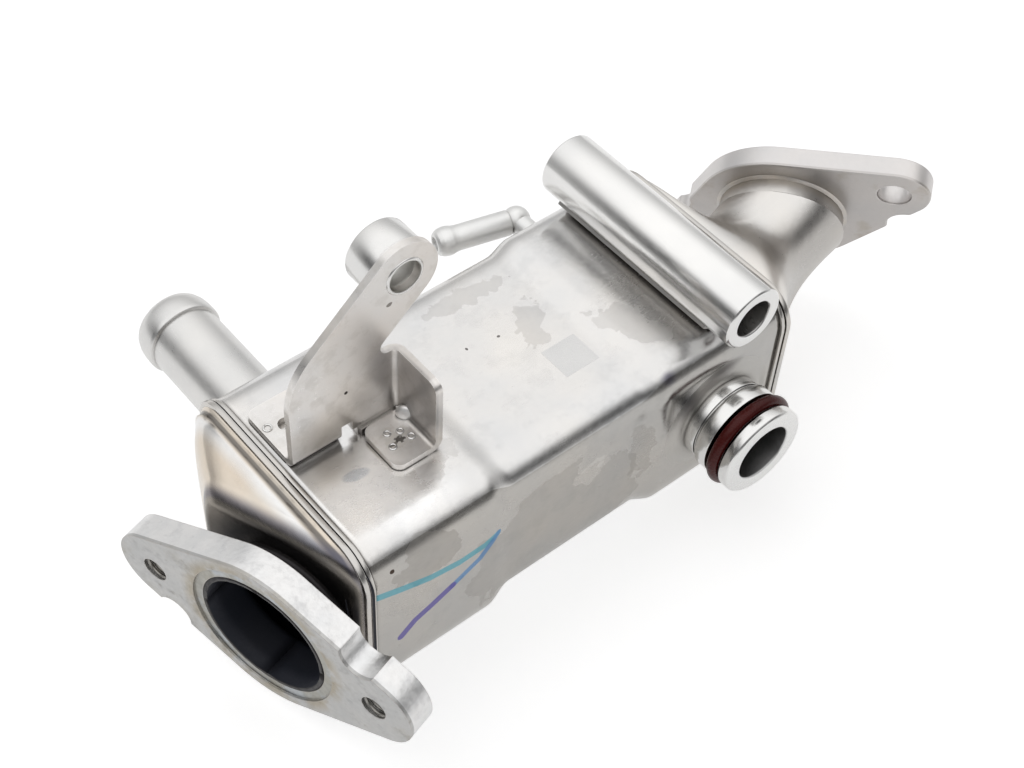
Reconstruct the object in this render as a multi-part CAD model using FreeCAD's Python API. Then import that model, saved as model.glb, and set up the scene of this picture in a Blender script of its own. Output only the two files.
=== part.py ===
import FreeCAD, Part
import math
import os
from FreeCAD import Vector

# EGR cooler: a brazed stainless plate-and-tube gas cooler. X runs along the core from the
# inlet end to the outlet end, Y across it, +Z up. The origin is the middle of the inlet
# flange's mating face. The places below are laid out from the core axis at the inlet header
# plate, and save() moves every piece to the origin. Sizes are in millimetres and degrees.

# How far a cutting rod reaches past what it cuts, and the sections that shape each tank
cut_margin = 1.0
tank_sections = 8

# Sheet and plate stock
casing_sheet = 1.2
tank_sheet = 1.2
header_sheet = 1.0
bracket_sheet = 2.0
saddle_sheet = 1.2

# Casing: two coolant chambers with a waisted middle
casing_length = 130.6
chamber_half_width = 33.4
chamber_half_height = 27.2
chamber_corner = 9.0
inlet_chamber_length = 36.9
outlet_chamber_length = 40.2
waist_ramp = 4.2
waist_side_step = 1.2
waist_top_step = 1.5
waist_floor_step = 3.0

# Rims where tank, header plate and casing are brazed together
rim_width = 1.8
rim_overhang = 1.0
plate_inset = 0.3

# Gas tube bundle, laid out inside the waist of the casing
tube_count = 7
tube_gap = 1.6
bundle_side_gap = 3.0
bundle_floor_gap = 1.4
tube_wall = 0.4
tube_end_reach = 1.0
tube_fit = 0.0
fin_sheet = 0.3
fin_waves = 9
fin_end_gap = 6.0
fin_fit = 0.0

# Inlet tank and its flange, turned towards -Y
inlet_face_x = -20.3
inlet_face_y = -17.4
inlet_face_z = -0.3
inlet_turn = 16.0
inlet_flange_thickness = 8.0
inlet_body_radius = 23.5
inlet_lobe_radius = 10.9
inlet_lobe_x = 33.0
inlet_lobe_rise = 0.75
inlet_notch_x = 28.6
inlet_notch_rise = 15.5
inlet_notch_radius = 5.0
thread_bore = 6.8
register_radius = 20.8
register_depth = 0.6
neck_end_inset = 0.5
neck_fit = 0.0
neck_overlap = 2.4
tank_lead = 0.6
inlet_neck_bore = 34.0
inlet_neck_stand = 3.0
inlet_brow_x = -4.8
inlet_brow_y = -0.6
inlet_brow_half_width = 33.2
inlet_brow_half_height = 26.8
inlet_brow_corner = 11.0
inlet_shoulder_x = -8.9
inlet_shoulder_y = -10.2
inlet_shoulder_half_width = 23.2
inlet_shoulder_half_height = 20.5
inlet_shoulder_corner = 17.0

# Outlet tank, an elbow that turns the gas towards +Y and slightly up, and its flange
outlet_face_x = 170.8
outlet_face_y = 3.5
outlet_face_z = 9.8
outlet_turn = 37.9
outlet_rise = 16.3
outlet_roll = -32.7
outlet_flange_thickness = 6.2
outlet_body_radius = 23.6
outlet_near_lobe_x = -34.0
outlet_near_lobe_radius = 9.8
outlet_far_lobe_x = 27.5
outlet_far_lobe_y = -3.0
outlet_far_lobe_radius = 9.4
outlet_near_notch_x = -31.2
outlet_near_notch_y = -15.2
outlet_far_notch_x = 29.5
outlet_far_notch_y = 11.6
outlet_notch_radius = 5.4
outlet_bolt_hole = 9.0
outlet_neck_bore = 32.6
outlet_neck_stand = 5.0
outlet_brow_x = 138.4
outlet_brow_y = 0.6
outlet_brow_z = 0.9
outlet_brow_half_width = 31.5
outlet_brow_half_height = 27.8
outlet_brow_corner = 12.0
outlet_waist_x = 144.6
outlet_waist_y = 0.9
outlet_waist_z = 2.9
outlet_waist_half_width = 15.6
outlet_waist_half_height = 24.3
outlet_waist_corner = 13.6
outlet_throat_x = 148.4
outlet_throat_y = -1.6
outlet_throat_z = 2.5
outlet_throat_half_width = 16.0
outlet_throat_half_height = 16.6
outlet_throat_corner = 15.5
outlet_throat_lean = 0.95

# Long mounting sleeve across the outlet chamber, in a formed saddle
sleeve_x = 114.4
sleeve_radius = 8.9
sleeve_bore = 10.6
sleeve_front = -37.2
sleeve_back = 33.5
sleeve_chamfer = 0.5
saddle_front = -27.3
saddle_back = 29.0
saddle_wrap = 40.0
saddle_foot_half = 4.0

# Folded mounting bracket on the inlet chamber
wall_front_y = -0.3
wall_start_x = 2.7
wall_slope = 41.0
wall_shoulder_radius = 20.0
wall_armpit_radius = 2.4
wall_clearance = 2.6
bend_inner = 1.5
ear_x = 35.4
ear_z = 72.0
ear_radius = 9.3
ear_hole = 8.6
boss_radius = 8.5
boss_length = 9.1
side_wall_x = 32.5
side_wall_depth = 15.6
side_wall_top = 50.0
side_wall_corner = 3.0
long_foot_width = 13.9
long_foot_end = 19.8
long_foot_hole = 4.0
long_foot_hole_x = 5.9
long_foot_hole_inset = 8.6
relief_width = 3.0
relief_rise = 5.8
short_foot_start = 21.3
short_foot_gap = 0.9
foot_corner = 2.5

# Coolant hose stub, +Y side of the inlet chamber
stub_x = 16.2
stub_z = 0.0
stub_radius = 10.1
stub_bore = 17.6
stub_length = 46.6
stub_bead_radius = 11.1
stub_bead_step = 8.1
stub_bead_peak = 5.9
stub_bead_lip = 0.2
stub_mouth_radius = 9.1

# Coolant spigot with its seal ring, -Y side of the outlet chamber
spigot_x = 111.4
spigot_z = 0.8
spigot_bore = 16.5
spigot_length = 16.6
spigot_collar_radius = 13.0
spigot_base_radius = 12.3
spigot_base_length = 4.0
spigot_rear_collar_length = 4.4
spigot_front_collar_length = 3.2
spigot_groove_depth = 2.4
spigot_relief = 0.5
spigot_relief_width = 0.7
spigot_chamfer = 0.6
seal_cord = 3.4
seal_fit = 0.05
pad_radius = 16.5
pad_skirt = 2.6
pad_height = 1.2

# Vent elbow with its hose barb, +Y side of the outlet chamber
vent_x = 104.7
vent_z = 15.7
vent_reach = 8.0
vent_stub_radius = 3.1
vent_ball_radius = 4.0
vent_bore = 4.0
barb_seat = 2.2
barb_turn = 14.6
barb_length = 24.0
barb_radius = 3.6
barb_bead_radius = 4.3
barb_bead_length = 5.0
barb_bead_land = 1.2
barb_tip_radius = 3.3
barb_chamfer = 0.6

# Sizes and places that follow from the ones above
tube_half_width = chamber_half_width - waist_side_step - casing_sheet - bundle_side_gap
bundle_half_height = chamber_half_height - waist_floor_step - casing_sheet - bundle_floor_gap
tube_half_height = (bundle_half_height - tube_gap * (tube_count - 1) / 2) / tube_count
tube_pitch = 2 * tube_half_height + tube_gap
inlet_face = Vector(inlet_face_x, inlet_face_y, inlet_face_z)
outlet_face = Vector(outlet_face_x, outlet_face_y, outlet_face_z)
casing_start = header_sheet
casing_end = casing_start + casing_length
outlet_rim = casing_end + header_sheet
casing_top = chamber_half_height
sleeve_z = casing_top + saddle_sheet + sleeve_radius
wall_back_y = wall_front_y + bracket_sheet
up = Vector(0, 0, 1)
core_axis = Vector(1, 0, 0)
side_axis = Vector(0, 1, 0)
inlet_normal = FreeCAD.Rotation(up, inlet_turn).multVec(-core_axis)
outlet_level = FreeCAD.Rotation(up, outlet_turn)
outlet_climb = FreeCAD.Rotation(-side_axis, outlet_rise)
outlet_normal = outlet_level.multVec(outlet_climb.multVec(core_axis))


def frame(origin, normal, roll=0.0):
    # Local z is the normal, local y leans upwards, then the pair is rolled about z
    x_axis = up.cross(normal).normalize()
    y_axis = normal.cross(x_axis)
    turn = FreeCAD.Rotation(x_axis, y_axis, normal, "ZXY")
    return FreeCAD.Placement(origin, turn.multiply(FreeCAD.Rotation(up, roll)))


def bezier(values, share):
    # de Casteljau, for numbers and vectors alike
    while len(values) > 1:
        values = [first * (1 - share) + second * share for first, second in zip(values, values[1:])]
    return values[0]


def placed(shape, placement):
    moved = shape.copy()
    moved.Placement = placement.multiply(shape.Placement)
    return moved


def arc(centre, radius, start, end):
    def at(angle):
        turn = math.radians(angle)
        return centre + Vector(radius * math.cos(turn), radius * math.sin(turn), 0)
    return Part.Arc(at(start), at((start + end) / 2), at(end)).toShape()


def polygon_face(points):
    return Part.Face(Part.makePolygon(points + [points[0]]))


def rounded_wire(half_width, half_height, corner):
    # Four corner arcs with the four sides between them, from the first quadrant round
    x = half_width - corner
    y = half_height - corner
    arcs = []
    for quadrant, (sx, sy) in enumerate(((1, 1), (-1, 1), (-1, -1), (1, -1))):
        arcs.append(arc(Vector(sx * x, sy * y, 0), corner, 90 * quadrant, 90 * quadrant + 90))
    edges = []
    for index, edge in enumerate(arcs):
        following = arcs[(index + 1) % 4]
        edges.append(edge)
        edges.append(Part.makeLine(edge.valueAt(edge.LastParameter),
                                   following.valueAt(following.FirstParameter)))
    return Part.Wire(edges)


def rod(origin, direction, radius, length):
    return Part.makeCylinder(radius, length, origin, direction)


def bore(start, direction, radius, length):
    # A rod that reaches past both ends of what it cuts
    return rod(start - direction * cut_margin, direction, radius, length + 2 * cut_margin)


def turned(profile, origin, direction):
    # Profile holds (distance along the axis, radius) pairs of a solid of revolution
    points = [Vector(radius, along, 0) for along, radius in profile]
    ends = [Vector(0, profile[-1][0], 0), Vector(0, profile[0][0], 0)]
    solid = polygon_face(points + ends).revolve(Vector(), side_axis, 360)
    turn = FreeCAD.Rotation(side_axis, direction)
    return placed(solid, FreeCAD.Placement(origin, turn))


def round_edges(shape, radius, places):
    # Fillet the edges whose middles are nearest to the places given
    edges = [min(shape.Edges, key=lambda edge: edge.CenterOfMass.distanceToPoint(place))
             for place in places]
    return shape.makeFillet(radius, edges)


def casing_section(x, shrink, side_step, top_step, floor_step):
    half_width = chamber_half_width - side_step - shrink
    top = chamber_half_height - top_step - shrink
    floor = chamber_half_height - floor_step - shrink
    wire = rounded_wire(half_width, (top + floor) / 2, chamber_corner - shrink)
    return placed(wire, frame(Vector(x, 0, (top - floor) / 2), core_axis))


def casing_body(shrink):
    waist_start = casing_start + inlet_chamber_length
    waist_end = casing_end - outlet_chamber_length
    waist = (waist_side_step, waist_top_step, waist_floor_step)
    level = (0, 0, 0)
    stations = (
        (casing_start, level),
        (waist_start, level),
        (waist_start + waist_ramp, waist),
        (waist_end - waist_ramp, waist),
        (waist_end, level),
        (casing_end, level),
    )
    wires = [casing_section(x, shrink, *steps) for x, steps in stations]
    return Part.makeLoft(wires, True, True)


def spigot_pad(shrink):
    # Low round boss pressed out of the casing side to give the spigot a flat seat
    seat = Vector(spigot_x, shrink - chamber_half_width + casing_sheet / 2, spigot_z)
    height = pad_height + casing_sheet / 2
    profile = ((0, pad_radius + pad_skirt - shrink), (height, pad_radius - shrink))
    return turned(profile, seat, -side_axis)


def make_casing():
    outer = casing_body(0.0).fuse(spigot_pad(0.0))
    inner = casing_body(casing_sheet).fuse(spigot_pad(casing_sheet))
    shell = outer.cut(inner)
    spigot_hole = rod(Vector(spigot_x, 0, spigot_z), -side_axis, spigot_bore / 2, 2 * chamber_half_width)
    stub_hole = rod(Vector(stub_x, 0, stub_z), side_axis, stub_bore / 2, 2 * chamber_half_width)
    vent_hole = rod(Vector(vent_x, 0, vent_z), side_axis, vent_bore / 2, 2 * chamber_half_width)
    return shell.cut([spigot_hole, stub_hole, vent_hole])


def slot_face(half_width, half_height):
    # Flat-oval outline in the local YZ plane of the core
    middle = half_width - half_height
    right = arc(Vector(middle, 0, 0), half_height, -90, 90)
    left = arc(Vector(-middle, 0, 0), half_height, 90, 270)
    upper = Part.makeLine(Vector(middle, half_height, 0), Vector(-middle, half_height, 0))
    lower = Part.makeLine(Vector(-middle, -half_height, 0), Vector(middle, -half_height, 0))
    return Part.Face(Part.Wire([right, upper, left, lower]))


def flat_bar(x, height, length, half_width, half_height):
    face = placed(slot_face(half_width, half_height), frame(Vector(x, 0, height), core_axis))
    return face.extrude(Vector(length, 0, 0))


def tube_height(index):
    return (index - (tube_count - 1) / 2) * tube_pitch


def make_header_plate(x):
    wire = rounded_wire(chamber_half_width - plate_inset, chamber_half_height - plate_inset,
                        chamber_corner - plate_inset)
    plate = Part.Face(placed(wire, frame(Vector(x, 0, 0), core_axis)))
    plate = plate.extrude(Vector(header_sheet, 0, 0))
    slots = [flat_bar(x - cut_margin, tube_height(index), header_sheet + 2 * cut_margin,
                      tube_half_width + tube_fit, tube_half_height + tube_fit)
             for index in range(tube_count)]
    return plate.cut(slots)


def make_gas_tube(height):
    length = outlet_rim + 2 * tube_end_reach
    outer = flat_bar(-tube_end_reach, height, length, tube_half_width, tube_half_height)
    inner = flat_bar(-tube_end_reach - cut_margin, height, length + 2 * cut_margin,
                     tube_half_width - tube_wall, tube_half_height - tube_wall)
    return outer.cut(inner)


def make_tube_fin(height):
    # One strip folded into square waves whose crests touch the tube's upper and lower walls
    high = tube_half_height - tube_wall - fin_fit
    webs = 2 * fin_waves
    step = 2 * (tube_half_width - tube_half_height) / webs
    first = -step * (webs - 1) / 2
    end = -first + step / 2
    upper = [Vector(-end, fin_sheet - high, 0)]
    lower = [Vector(-end, -high, 0)]
    for index in range(webs):
        y = first + index * step
        rising = index % 2 == 0
        side = -fin_sheet / 2 if rising else fin_sheet / 2
        climb = [Vector(y + side, fin_sheet - high, 0), Vector(y + side, high, 0)]
        inside = [Vector(y - side, -high, 0), Vector(y - side, high - fin_sheet, 0)]
        upper += climb if rising else climb[::-1]
        lower += inside if rising else inside[::-1]
    upper.append(Vector(end, fin_sheet - high, 0))
    lower.append(Vector(end, -high, 0))
    strip = polygon_face(upper + lower[::-1])
    strip = placed(strip, frame(Vector(fin_end_gap, 0, height), core_axis))
    return strip.extrude(Vector(outlet_rim - 2 * fin_end_gap, 0, 0))


def rim_ring(x):
    outer = rounded_wire(chamber_half_width + rim_overhang, chamber_half_height + rim_overhang,
                         chamber_corner + rim_overhang)
    ring = Part.Face(placed(outer, frame(Vector(x, 0, 0), core_axis)))
    return ring.extrude(Vector(rim_width, 0, 0))


def inlet_station(depth):
    return frame(inlet_face - inlet_normal * depth, inlet_normal)


def tank_body(keys, shrink):
    # Each key is a section: centre, normal, half width, half height and corner radius.
    # The sections in between are a Bezier blend of the keys, so the shell bulges without waves.
    wires = []
    for step in range(tank_sections):
        share = step / (tank_sections - 1)
        centre, normal, half_width, half_height, corner = [bezier(row, share) for row in zip(*keys)]
        normal = Vector(normal).normalize()
        wire = rounded_wire(half_width - shrink, half_height - shrink, corner - shrink)
        wires.append(placed(wire, frame(centre - normal * shrink, normal)))
    return Part.makeLoft(wires, True, False)


def tank_shell(keys, neck_start, neck_normal, neck_radius, neck_length):
    # Outer form less the same form moved in by the sheet, with the neck bored right through
    root = neck_start - neck_normal * neck_overlap
    length = neck_length + neck_overlap
    neck = rod(root, neck_normal, neck_radius, length)
    neck_bore = rod(root, neck_normal, neck_radius - tank_sheet, length + cut_margin)
    return tank_body(keys, 0.0).fuse(neck), tank_body(keys, tank_sheet).fuse(neck_bore)


def make_inlet_tank():
    depth = inlet_flange_thickness + inlet_neck_stand
    radius = inlet_neck_bore / 2 + tank_sheet
    neck_start = inlet_face - inlet_normal * depth
    keys = (
        (Vector(), -core_axis, chamber_half_width, chamber_half_height, chamber_corner),
        (Vector(inlet_brow_x, inlet_brow_y, 0), -core_axis,
         inlet_brow_half_width, inlet_brow_half_height, inlet_brow_corner),
        (Vector(inlet_shoulder_x, inlet_shoulder_y, 0), inlet_normal,
         inlet_shoulder_half_width, inlet_shoulder_half_height, inlet_shoulder_corner),
        (neck_start, inlet_normal, radius + tank_lead, radius + tank_lead, radius),
    )
    outer, inner = tank_shell(keys, neck_start, inlet_normal, radius, depth - neck_end_inset)
    return outer.fuse(rim_ring(-rim_width)).cut(inner)


def outlet_station(depth):
    return frame(outlet_face - outlet_normal * depth, outlet_normal, outlet_roll)


def make_outlet_tank():
    radius = outlet_neck_bore / 2 + tank_sheet
    neck_start = outlet_face - outlet_normal * outlet_neck_stand
    waist_normal = bezier((core_axis, outlet_normal), outlet_throat_lean / 2)
    throat_normal = bezier((core_axis, outlet_normal), outlet_throat_lean)
    keys = (
        (Vector(outlet_rim, 0, 0), core_axis, chamber_half_width, chamber_half_height, chamber_corner),
        (Vector(outlet_brow_x, outlet_brow_y, outlet_brow_z), core_axis,
         outlet_brow_half_width, outlet_brow_half_height, outlet_brow_corner),
        (Vector(outlet_waist_x, outlet_waist_y, outlet_waist_z), waist_normal,
         outlet_waist_half_width, outlet_waist_half_height, outlet_waist_corner),
        (Vector(outlet_throat_x, outlet_throat_y, outlet_throat_z), throat_normal,
         outlet_throat_half_width, outlet_throat_half_height, outlet_throat_corner),
        (neck_start, outlet_normal, radius + tank_lead, radius + tank_lead, radius),
    )
    length = outlet_neck_stand + outlet_flange_thickness - neck_end_inset
    outer, inner = tank_shell(keys, neck_start, outlet_normal, radius, length)
    return outer.fuse(rim_ring(outlet_rim)).cut(inner)


def hull_face(body_radius, lobe, lobe_radius):
    # Body circle and one lobe joined by their two outer tangents
    distance = lobe.Length
    heading = math.degrees(math.atan2(lobe.y, lobe.x))
    slant = math.degrees(math.acos((body_radius - lobe_radius) / distance))
    first = heading - slant
    second = heading + slant
    lobe_arc = arc(lobe, lobe_radius, first, second)
    body_arc = arc(Vector(), body_radius, second, first + 360)
    lower = Part.makeLine(body_arc.valueAt(body_arc.LastParameter),
                          lobe_arc.valueAt(lobe_arc.FirstParameter))
    upper = Part.makeLine(lobe_arc.valueAt(lobe_arc.LastParameter),
                          body_arc.valueAt(body_arc.FirstParameter))
    return Part.Face(Part.Wire([lower, lobe_arc, upper, body_arc]))


def flange_plate(thickness, body_radius, lobes, notches, notch_radius):
    plates = [hull_face(body_radius, centre, radius).extrude(up * thickness) for centre, radius in lobes]
    cuts = [bore(centre, up, notch_radius, thickness) for centre in notches]
    return plates[0].fuse(plates[1]).cut(cuts).removeSplitter()


def make_inlet_flange():
    lobe = Vector(inlet_lobe_x, inlet_lobe_rise, 0)
    notch = Vector(inlet_notch_x, inlet_notch_rise, 0)
    thickness = inlet_flange_thickness
    plate = flange_plate(thickness, inlet_body_radius,
                         ((lobe, inlet_lobe_radius), (-lobe, inlet_lobe_radius)),
                         (notch, -notch), inlet_notch_radius)
    cuts = [bore(Vector(), up, inlet_neck_bore / 2 + tank_sheet + neck_fit, thickness),
            rod(up * (thickness - register_depth), up, register_radius, register_depth + cut_margin)]
    for centre in (lobe, -lobe):
        cuts.append(bore(centre, up, thread_bore / 2, thickness))
    return placed(plate.cut(cuts), inlet_station(thickness))


def make_outlet_flange():
    thickness = outlet_flange_thickness
    near_lobe = Vector(outlet_near_lobe_x, 0, 0)
    far_lobe = Vector(outlet_far_lobe_x, outlet_far_lobe_y, 0)
    near_notch = Vector(outlet_near_notch_x, outlet_near_notch_y, 0)
    far_notch = Vector(outlet_far_notch_x, outlet_far_notch_y, 0)
    plate = flange_plate(thickness, outlet_body_radius,
                         ((near_lobe, outlet_near_lobe_radius), (far_lobe, outlet_far_lobe_radius)),
                         (near_notch, far_notch), outlet_notch_radius)
    cuts = [bore(Vector(), up, outlet_neck_bore / 2 + tank_sheet + neck_fit, thickness)]
    for centre in (near_lobe, far_lobe):
        cuts.append(bore(centre, up, outlet_bolt_hole / 2, thickness))
    return placed(plate.cut(cuts), outlet_station(0))


def make_mounting_sleeve():
    length = sleeve_back - sleeve_front
    edge = sleeve_chamfer
    profile = ((0, sleeve_radius - edge), (edge, sleeve_radius), (length - edge, sleeve_radius),
               (length, sleeve_radius - edge))
    front = Vector(sleeve_x, sleeve_front, sleeve_z)
    body = turned(profile, front, side_axis)
    return body.cut(bore(front, side_axis, sleeve_bore / 2, length))


def make_sleeve_saddle():
    # Formed trough under the sleeve, filled out to a flat foot on the casing
    outer_radius = sleeve_radius + saddle_sheet
    outer = arc(Vector(), outer_radius, -90 - saddle_wrap, -90 + saddle_wrap)
    inner = arc(Vector(), sleeve_radius, -90 - saddle_wrap, -90 + saddle_wrap)
    ends = [Part.makeLine(outer.valueAt(outer.FirstParameter), inner.valueAt(inner.FirstParameter)),
            Part.makeLine(outer.valueAt(outer.LastParameter), inner.valueAt(inner.LastParameter))]
    trough = Part.Face(Part.Wire(Part.sortEdges([outer, inner] + ends)[0]))
    rise = math.sqrt(outer_radius ** 2 - saddle_foot_half ** 2)
    corners = [Vector(side * saddle_foot_half, height, 0)
               for side, height in ((-1, -outer_radius), (1, -outer_radius), (1, -rise), (-1, -rise))]
    foot = polygon_face(corners)
    length = saddle_back - saddle_front
    seat = FreeCAD.Placement(Vector(sleeve_x, saddle_back, sleeve_z), FreeCAD.Rotation(core_axis, 90))
    solid = trough.extrude(up * length).fuse(foot.extrude(up * length))
    solid = solid.cut(bore(Vector(), up, sleeve_radius, length))
    return placed(solid.removeSplitter(), seat)


def bracket_bend(length, reach_a, reach_b):
    # Two flat legs of sheet with a round bend between them, in local x and y, along local z
    inner = bend_inner
    outer = bend_inner + bracket_sheet
    bend = [arc(Vector(outer, outer, 0), outer, 180, 270), arc(Vector(outer, outer, 0), inner, 270, 180)]
    leg_a = Part.makePolygon([Vector(0, outer, 0), Vector(0, reach_a, 0),
                              Vector(bracket_sheet, reach_a, 0), Vector(bracket_sheet, outer, 0)])
    leg_b = Part.makePolygon([Vector(outer, bracket_sheet, 0), Vector(reach_b, bracket_sheet, 0),
                              Vector(reach_b, 0, 0), Vector(outer, 0, 0)])
    edges = Part.sortEdges(bend + leg_a.Edges + leg_b.Edges)[0]
    return Part.Face(Part.Wire(edges)).extrude(up * length)


def bracket_wall():
    # Upright sheet: a shoulder, a sloping arm and the round ear, with an armpit below the arm
    bend = bracket_sheet + bend_inner
    slope = math.radians(wall_slope)
    ear = Vector(ear_x, ear_z, 0)
    offset = Vector(-math.sin(slope), math.cos(slope), 0) * ear_radius
    above = ear + offset
    below = ear - offset
    right = side_wall_x + bracket_sheet - bend
    knee = above.y - (above.x - wall_start_x) * math.tan(slope)
    pit = below.x - (below.y - side_wall_top) / math.tan(slope)
    floor = casing_top + bend
    relief_start = wall_start_x + long_foot_width
    relief_top = floor + relief_rise - bend
    lift = casing_top + wall_clearance
    outline = [
        Vector(wall_start_x, floor, 0),
        Vector(relief_start, floor, 0),
        Vector(relief_start, relief_top, 0),
        Vector(relief_start + relief_width, relief_top, 0),
        Vector(relief_start + relief_width, lift, 0),
        Vector(right, lift, 0),
        Vector(right, side_wall_top, 0),
        Vector(pit, side_wall_top, 0),
        below,
        above,
        Vector(wall_start_x, knee, 0),
    ]
    plate = polygon_face(outline).extrude(up * bracket_sheet)
    half = up * (bracket_sheet / 2)
    plate = round_edges(plate, wall_armpit_radius, [Vector(pit, side_wall_top, 0) + half])
    plate = round_edges(plate, wall_shoulder_radius, [Vector(wall_start_x, knee, 0) + half])
    plate = plate.fuse(rod(ear, up, ear_radius, bracket_sheet))
    plate = plate.cut(bore(ear, up, ear_hole / 2, bracket_sheet))
    return placed(plate, FreeCAD.Placement(Vector(0, wall_back_y, 0), FreeCAD.Rotation(core_axis, 90)))


def bracket_long_foot():
    # Foot bent from the wall towards +Y, with its locating hole
    rise = bracket_sheet + bend_inner
    bent = bracket_bend(long_foot_width, rise, long_foot_end - wall_front_y)
    turn = FreeCAD.Rotation(side_axis, up, core_axis, "ZXY")
    bent = placed(bent, FreeCAD.Placement(Vector(wall_start_x, wall_front_y, casing_top), turn))
    height = casing_top + bracket_sheet / 2
    ends = [Vector(wall_start_x + x, long_foot_end, height) for x in (0, long_foot_width)]
    bent = round_edges(bent, foot_corner, ends)
    hole = Vector(wall_start_x + long_foot_hole_x, long_foot_end - long_foot_hole_inset, casing_top)
    return bent.cut(bore(hole, up, long_foot_hole / 2, bracket_sheet))


def bracket_side_wall():
    # Second wall, bent from the first towards -Y, and the short foot bent in below it
    outer_x = side_wall_x + bracket_sheet
    corner = bracket_bend(side_wall_top - casing_top - wall_clearance,
                          bracket_sheet + bend_inner, side_wall_depth + wall_back_y)
    turn = FreeCAD.Rotation(-side_axis, -core_axis, -up, "ZXY")
    corner = placed(corner, FreeCAD.Placement(Vector(outer_x, wall_back_y, side_wall_top), turn))
    top_corner = Vector(side_wall_x + bracket_sheet / 2, -side_wall_depth, side_wall_top)
    corner = round_edges(corner, side_wall_corner, [top_corner])
    foot_depth = side_wall_depth + wall_front_y - short_foot_gap
    foot = bracket_bend(foot_depth, bracket_sheet + bend_inner + wall_clearance, outer_x - short_foot_start)
    turn = FreeCAD.Rotation(-core_axis, up, side_axis, "ZXY")
    foot = placed(foot, FreeCAD.Placement(Vector(outer_x, -side_wall_depth, casing_top), turn))
    height = casing_top + bracket_sheet / 2
    ends = [Vector(short_foot_start, y, height) for y in (-side_wall_depth, foot_depth - side_wall_depth)]
    return corner.fuse(round_edges(foot, foot_corner, ends))


def make_mounting_bracket():
    return bracket_wall().fuse([bracket_long_foot(), bracket_side_wall()]).removeSplitter()


def make_bracket_boss():
    seat = Vector(ear_x, wall_back_y, ear_z)
    boss = rod(seat, side_axis, boss_radius, boss_length)
    return boss.cut(bore(seat, side_axis, ear_hole / 2, boss_length))


def make_coolant_hose_stub():
    seat = Vector(stub_x, chamber_half_width, stub_z)
    profile = (
        (0, stub_radius),
        (stub_length - stub_bead_step, stub_radius),
        (stub_length - stub_bead_step, stub_bead_radius - stub_bead_lip),
        (stub_length - stub_bead_peak, stub_bead_radius),
        (stub_length, stub_mouth_radius),
    )
    body = turned(profile, seat, side_axis)
    return body.cut(bore(seat, side_axis, stub_bore / 2, stub_length))


def make_coolant_spigot():
    # Base ring, shallow relief, rear collar, seal groove and chamfered front collar
    base = spigot_base_length
    rear = base + spigot_rear_collar_length
    front = spigot_length - spigot_front_collar_length
    collar = spigot_collar_radius
    groove = collar - spigot_groove_depth
    relief = spigot_base_radius - spigot_relief
    profile = (
        (0, spigot_base_radius),
        (base - spigot_relief_width, spigot_base_radius),
        (base - spigot_relief_width, relief),
        (base, relief),
        (base, collar - spigot_chamfer),
        (base + spigot_chamfer, collar),
        (rear, collar),
        (rear, groove),
        (front, groove),
        (front, collar),
        (spigot_length - spigot_chamfer, collar),
        (spigot_length, collar - spigot_chamfer),
    )
    seat = Vector(spigot_x, -chamber_half_width - pad_height, spigot_z)
    body = turned(profile, seat, -side_axis)
    return body.cut(bore(seat, -side_axis, spigot_bore / 2, spigot_length))


def make_seal_ring():
    groove_start = spigot_base_length + spigot_rear_collar_length
    groove_end = spigot_length - spigot_front_collar_length
    middle = -chamber_half_width - pad_height - (groove_start + groove_end) / 2
    radius = spigot_collar_radius - spigot_groove_depth + seal_cord / 2 + seal_fit
    return Part.makeTorus(radius, seal_cord / 2, Vector(spigot_x, middle, spigot_z), side_axis)


def barb_direction():
    return FreeCAD.Rotation(up, -barb_turn).multVec(-core_axis)


def make_vent_elbow():
    # Stub standing on the casing side, ending in a ball with a flat for the barb
    foot = Vector(vent_x, chamber_half_width, vent_z)
    ball = foot + side_axis * vent_reach
    body = rod(foot, side_axis, vent_stub_radius, vent_reach)
    body = body.fuse(Part.makeSphere(vent_ball_radius, ball))
    flat = rod(ball + barb_direction() * barb_seat, barb_direction(), vent_ball_radius, vent_ball_radius)
    bores = [rod(foot - side_axis * cut_margin, side_axis, vent_bore / 2, vent_reach + cut_margin),
             rod(ball, barb_direction(), vent_bore / 2, vent_ball_radius),
             Part.makeSphere(vent_bore / 2, ball)]
    return body.cut([flat] + bores)


def make_vent_barb():
    root = Vector(vent_x, chamber_half_width + vent_reach, vent_z) + barb_direction() * barb_seat
    bead_start = barb_length - barb_bead_length
    profile = (
        (0, barb_radius - barb_chamfer),
        (barb_chamfer, barb_radius),
        (bead_start, barb_radius),
        (bead_start, barb_bead_radius),
        (bead_start + barb_bead_land, barb_bead_radius),
        (barb_length, barb_tip_radius),
    )
    body = turned(profile, root, barb_direction())
    return body.cut(bore(root, barb_direction(), vent_bore / 2, barb_length))


def save(name, shape):
    shape.translate(-inlet_face)
    shape.exportStep(os.path.join("parts", name + ".step"))


os.makedirs("parts", exist_ok=True)
save("casing", make_casing())
save("inlet_header_plate", make_header_plate(0))
save("outlet_header_plate", make_header_plate(casing_end))
for number in range(tube_count):
    save("gas_tube_%d" % (number + 1), make_gas_tube(tube_height(number)))
    save("tube_fin_%d" % (number + 1), make_tube_fin(tube_height(number)))
save("inlet_tank", make_inlet_tank())
save("inlet_flange", make_inlet_flange())
save("outlet_tank", make_outlet_tank())
save("outlet_flange", make_outlet_flange())
save("mounting_sleeve", make_mounting_sleeve())
save("sleeve_saddle", make_sleeve_saddle())
save("mounting_bracket", make_mounting_bracket())
save("bracket_boss", make_bracket_boss())
save("coolant_hose_stub", make_coolant_hose_stub())
save("coolant_spigot", make_coolant_spigot())
save("seal_ring", make_seal_ring())
save("vent_elbow", make_vent_elbow())
save("vent_barb", make_vent_barb())
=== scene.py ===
import math

import bmesh
import bpy
from mathutils import Matrix, Vector


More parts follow.
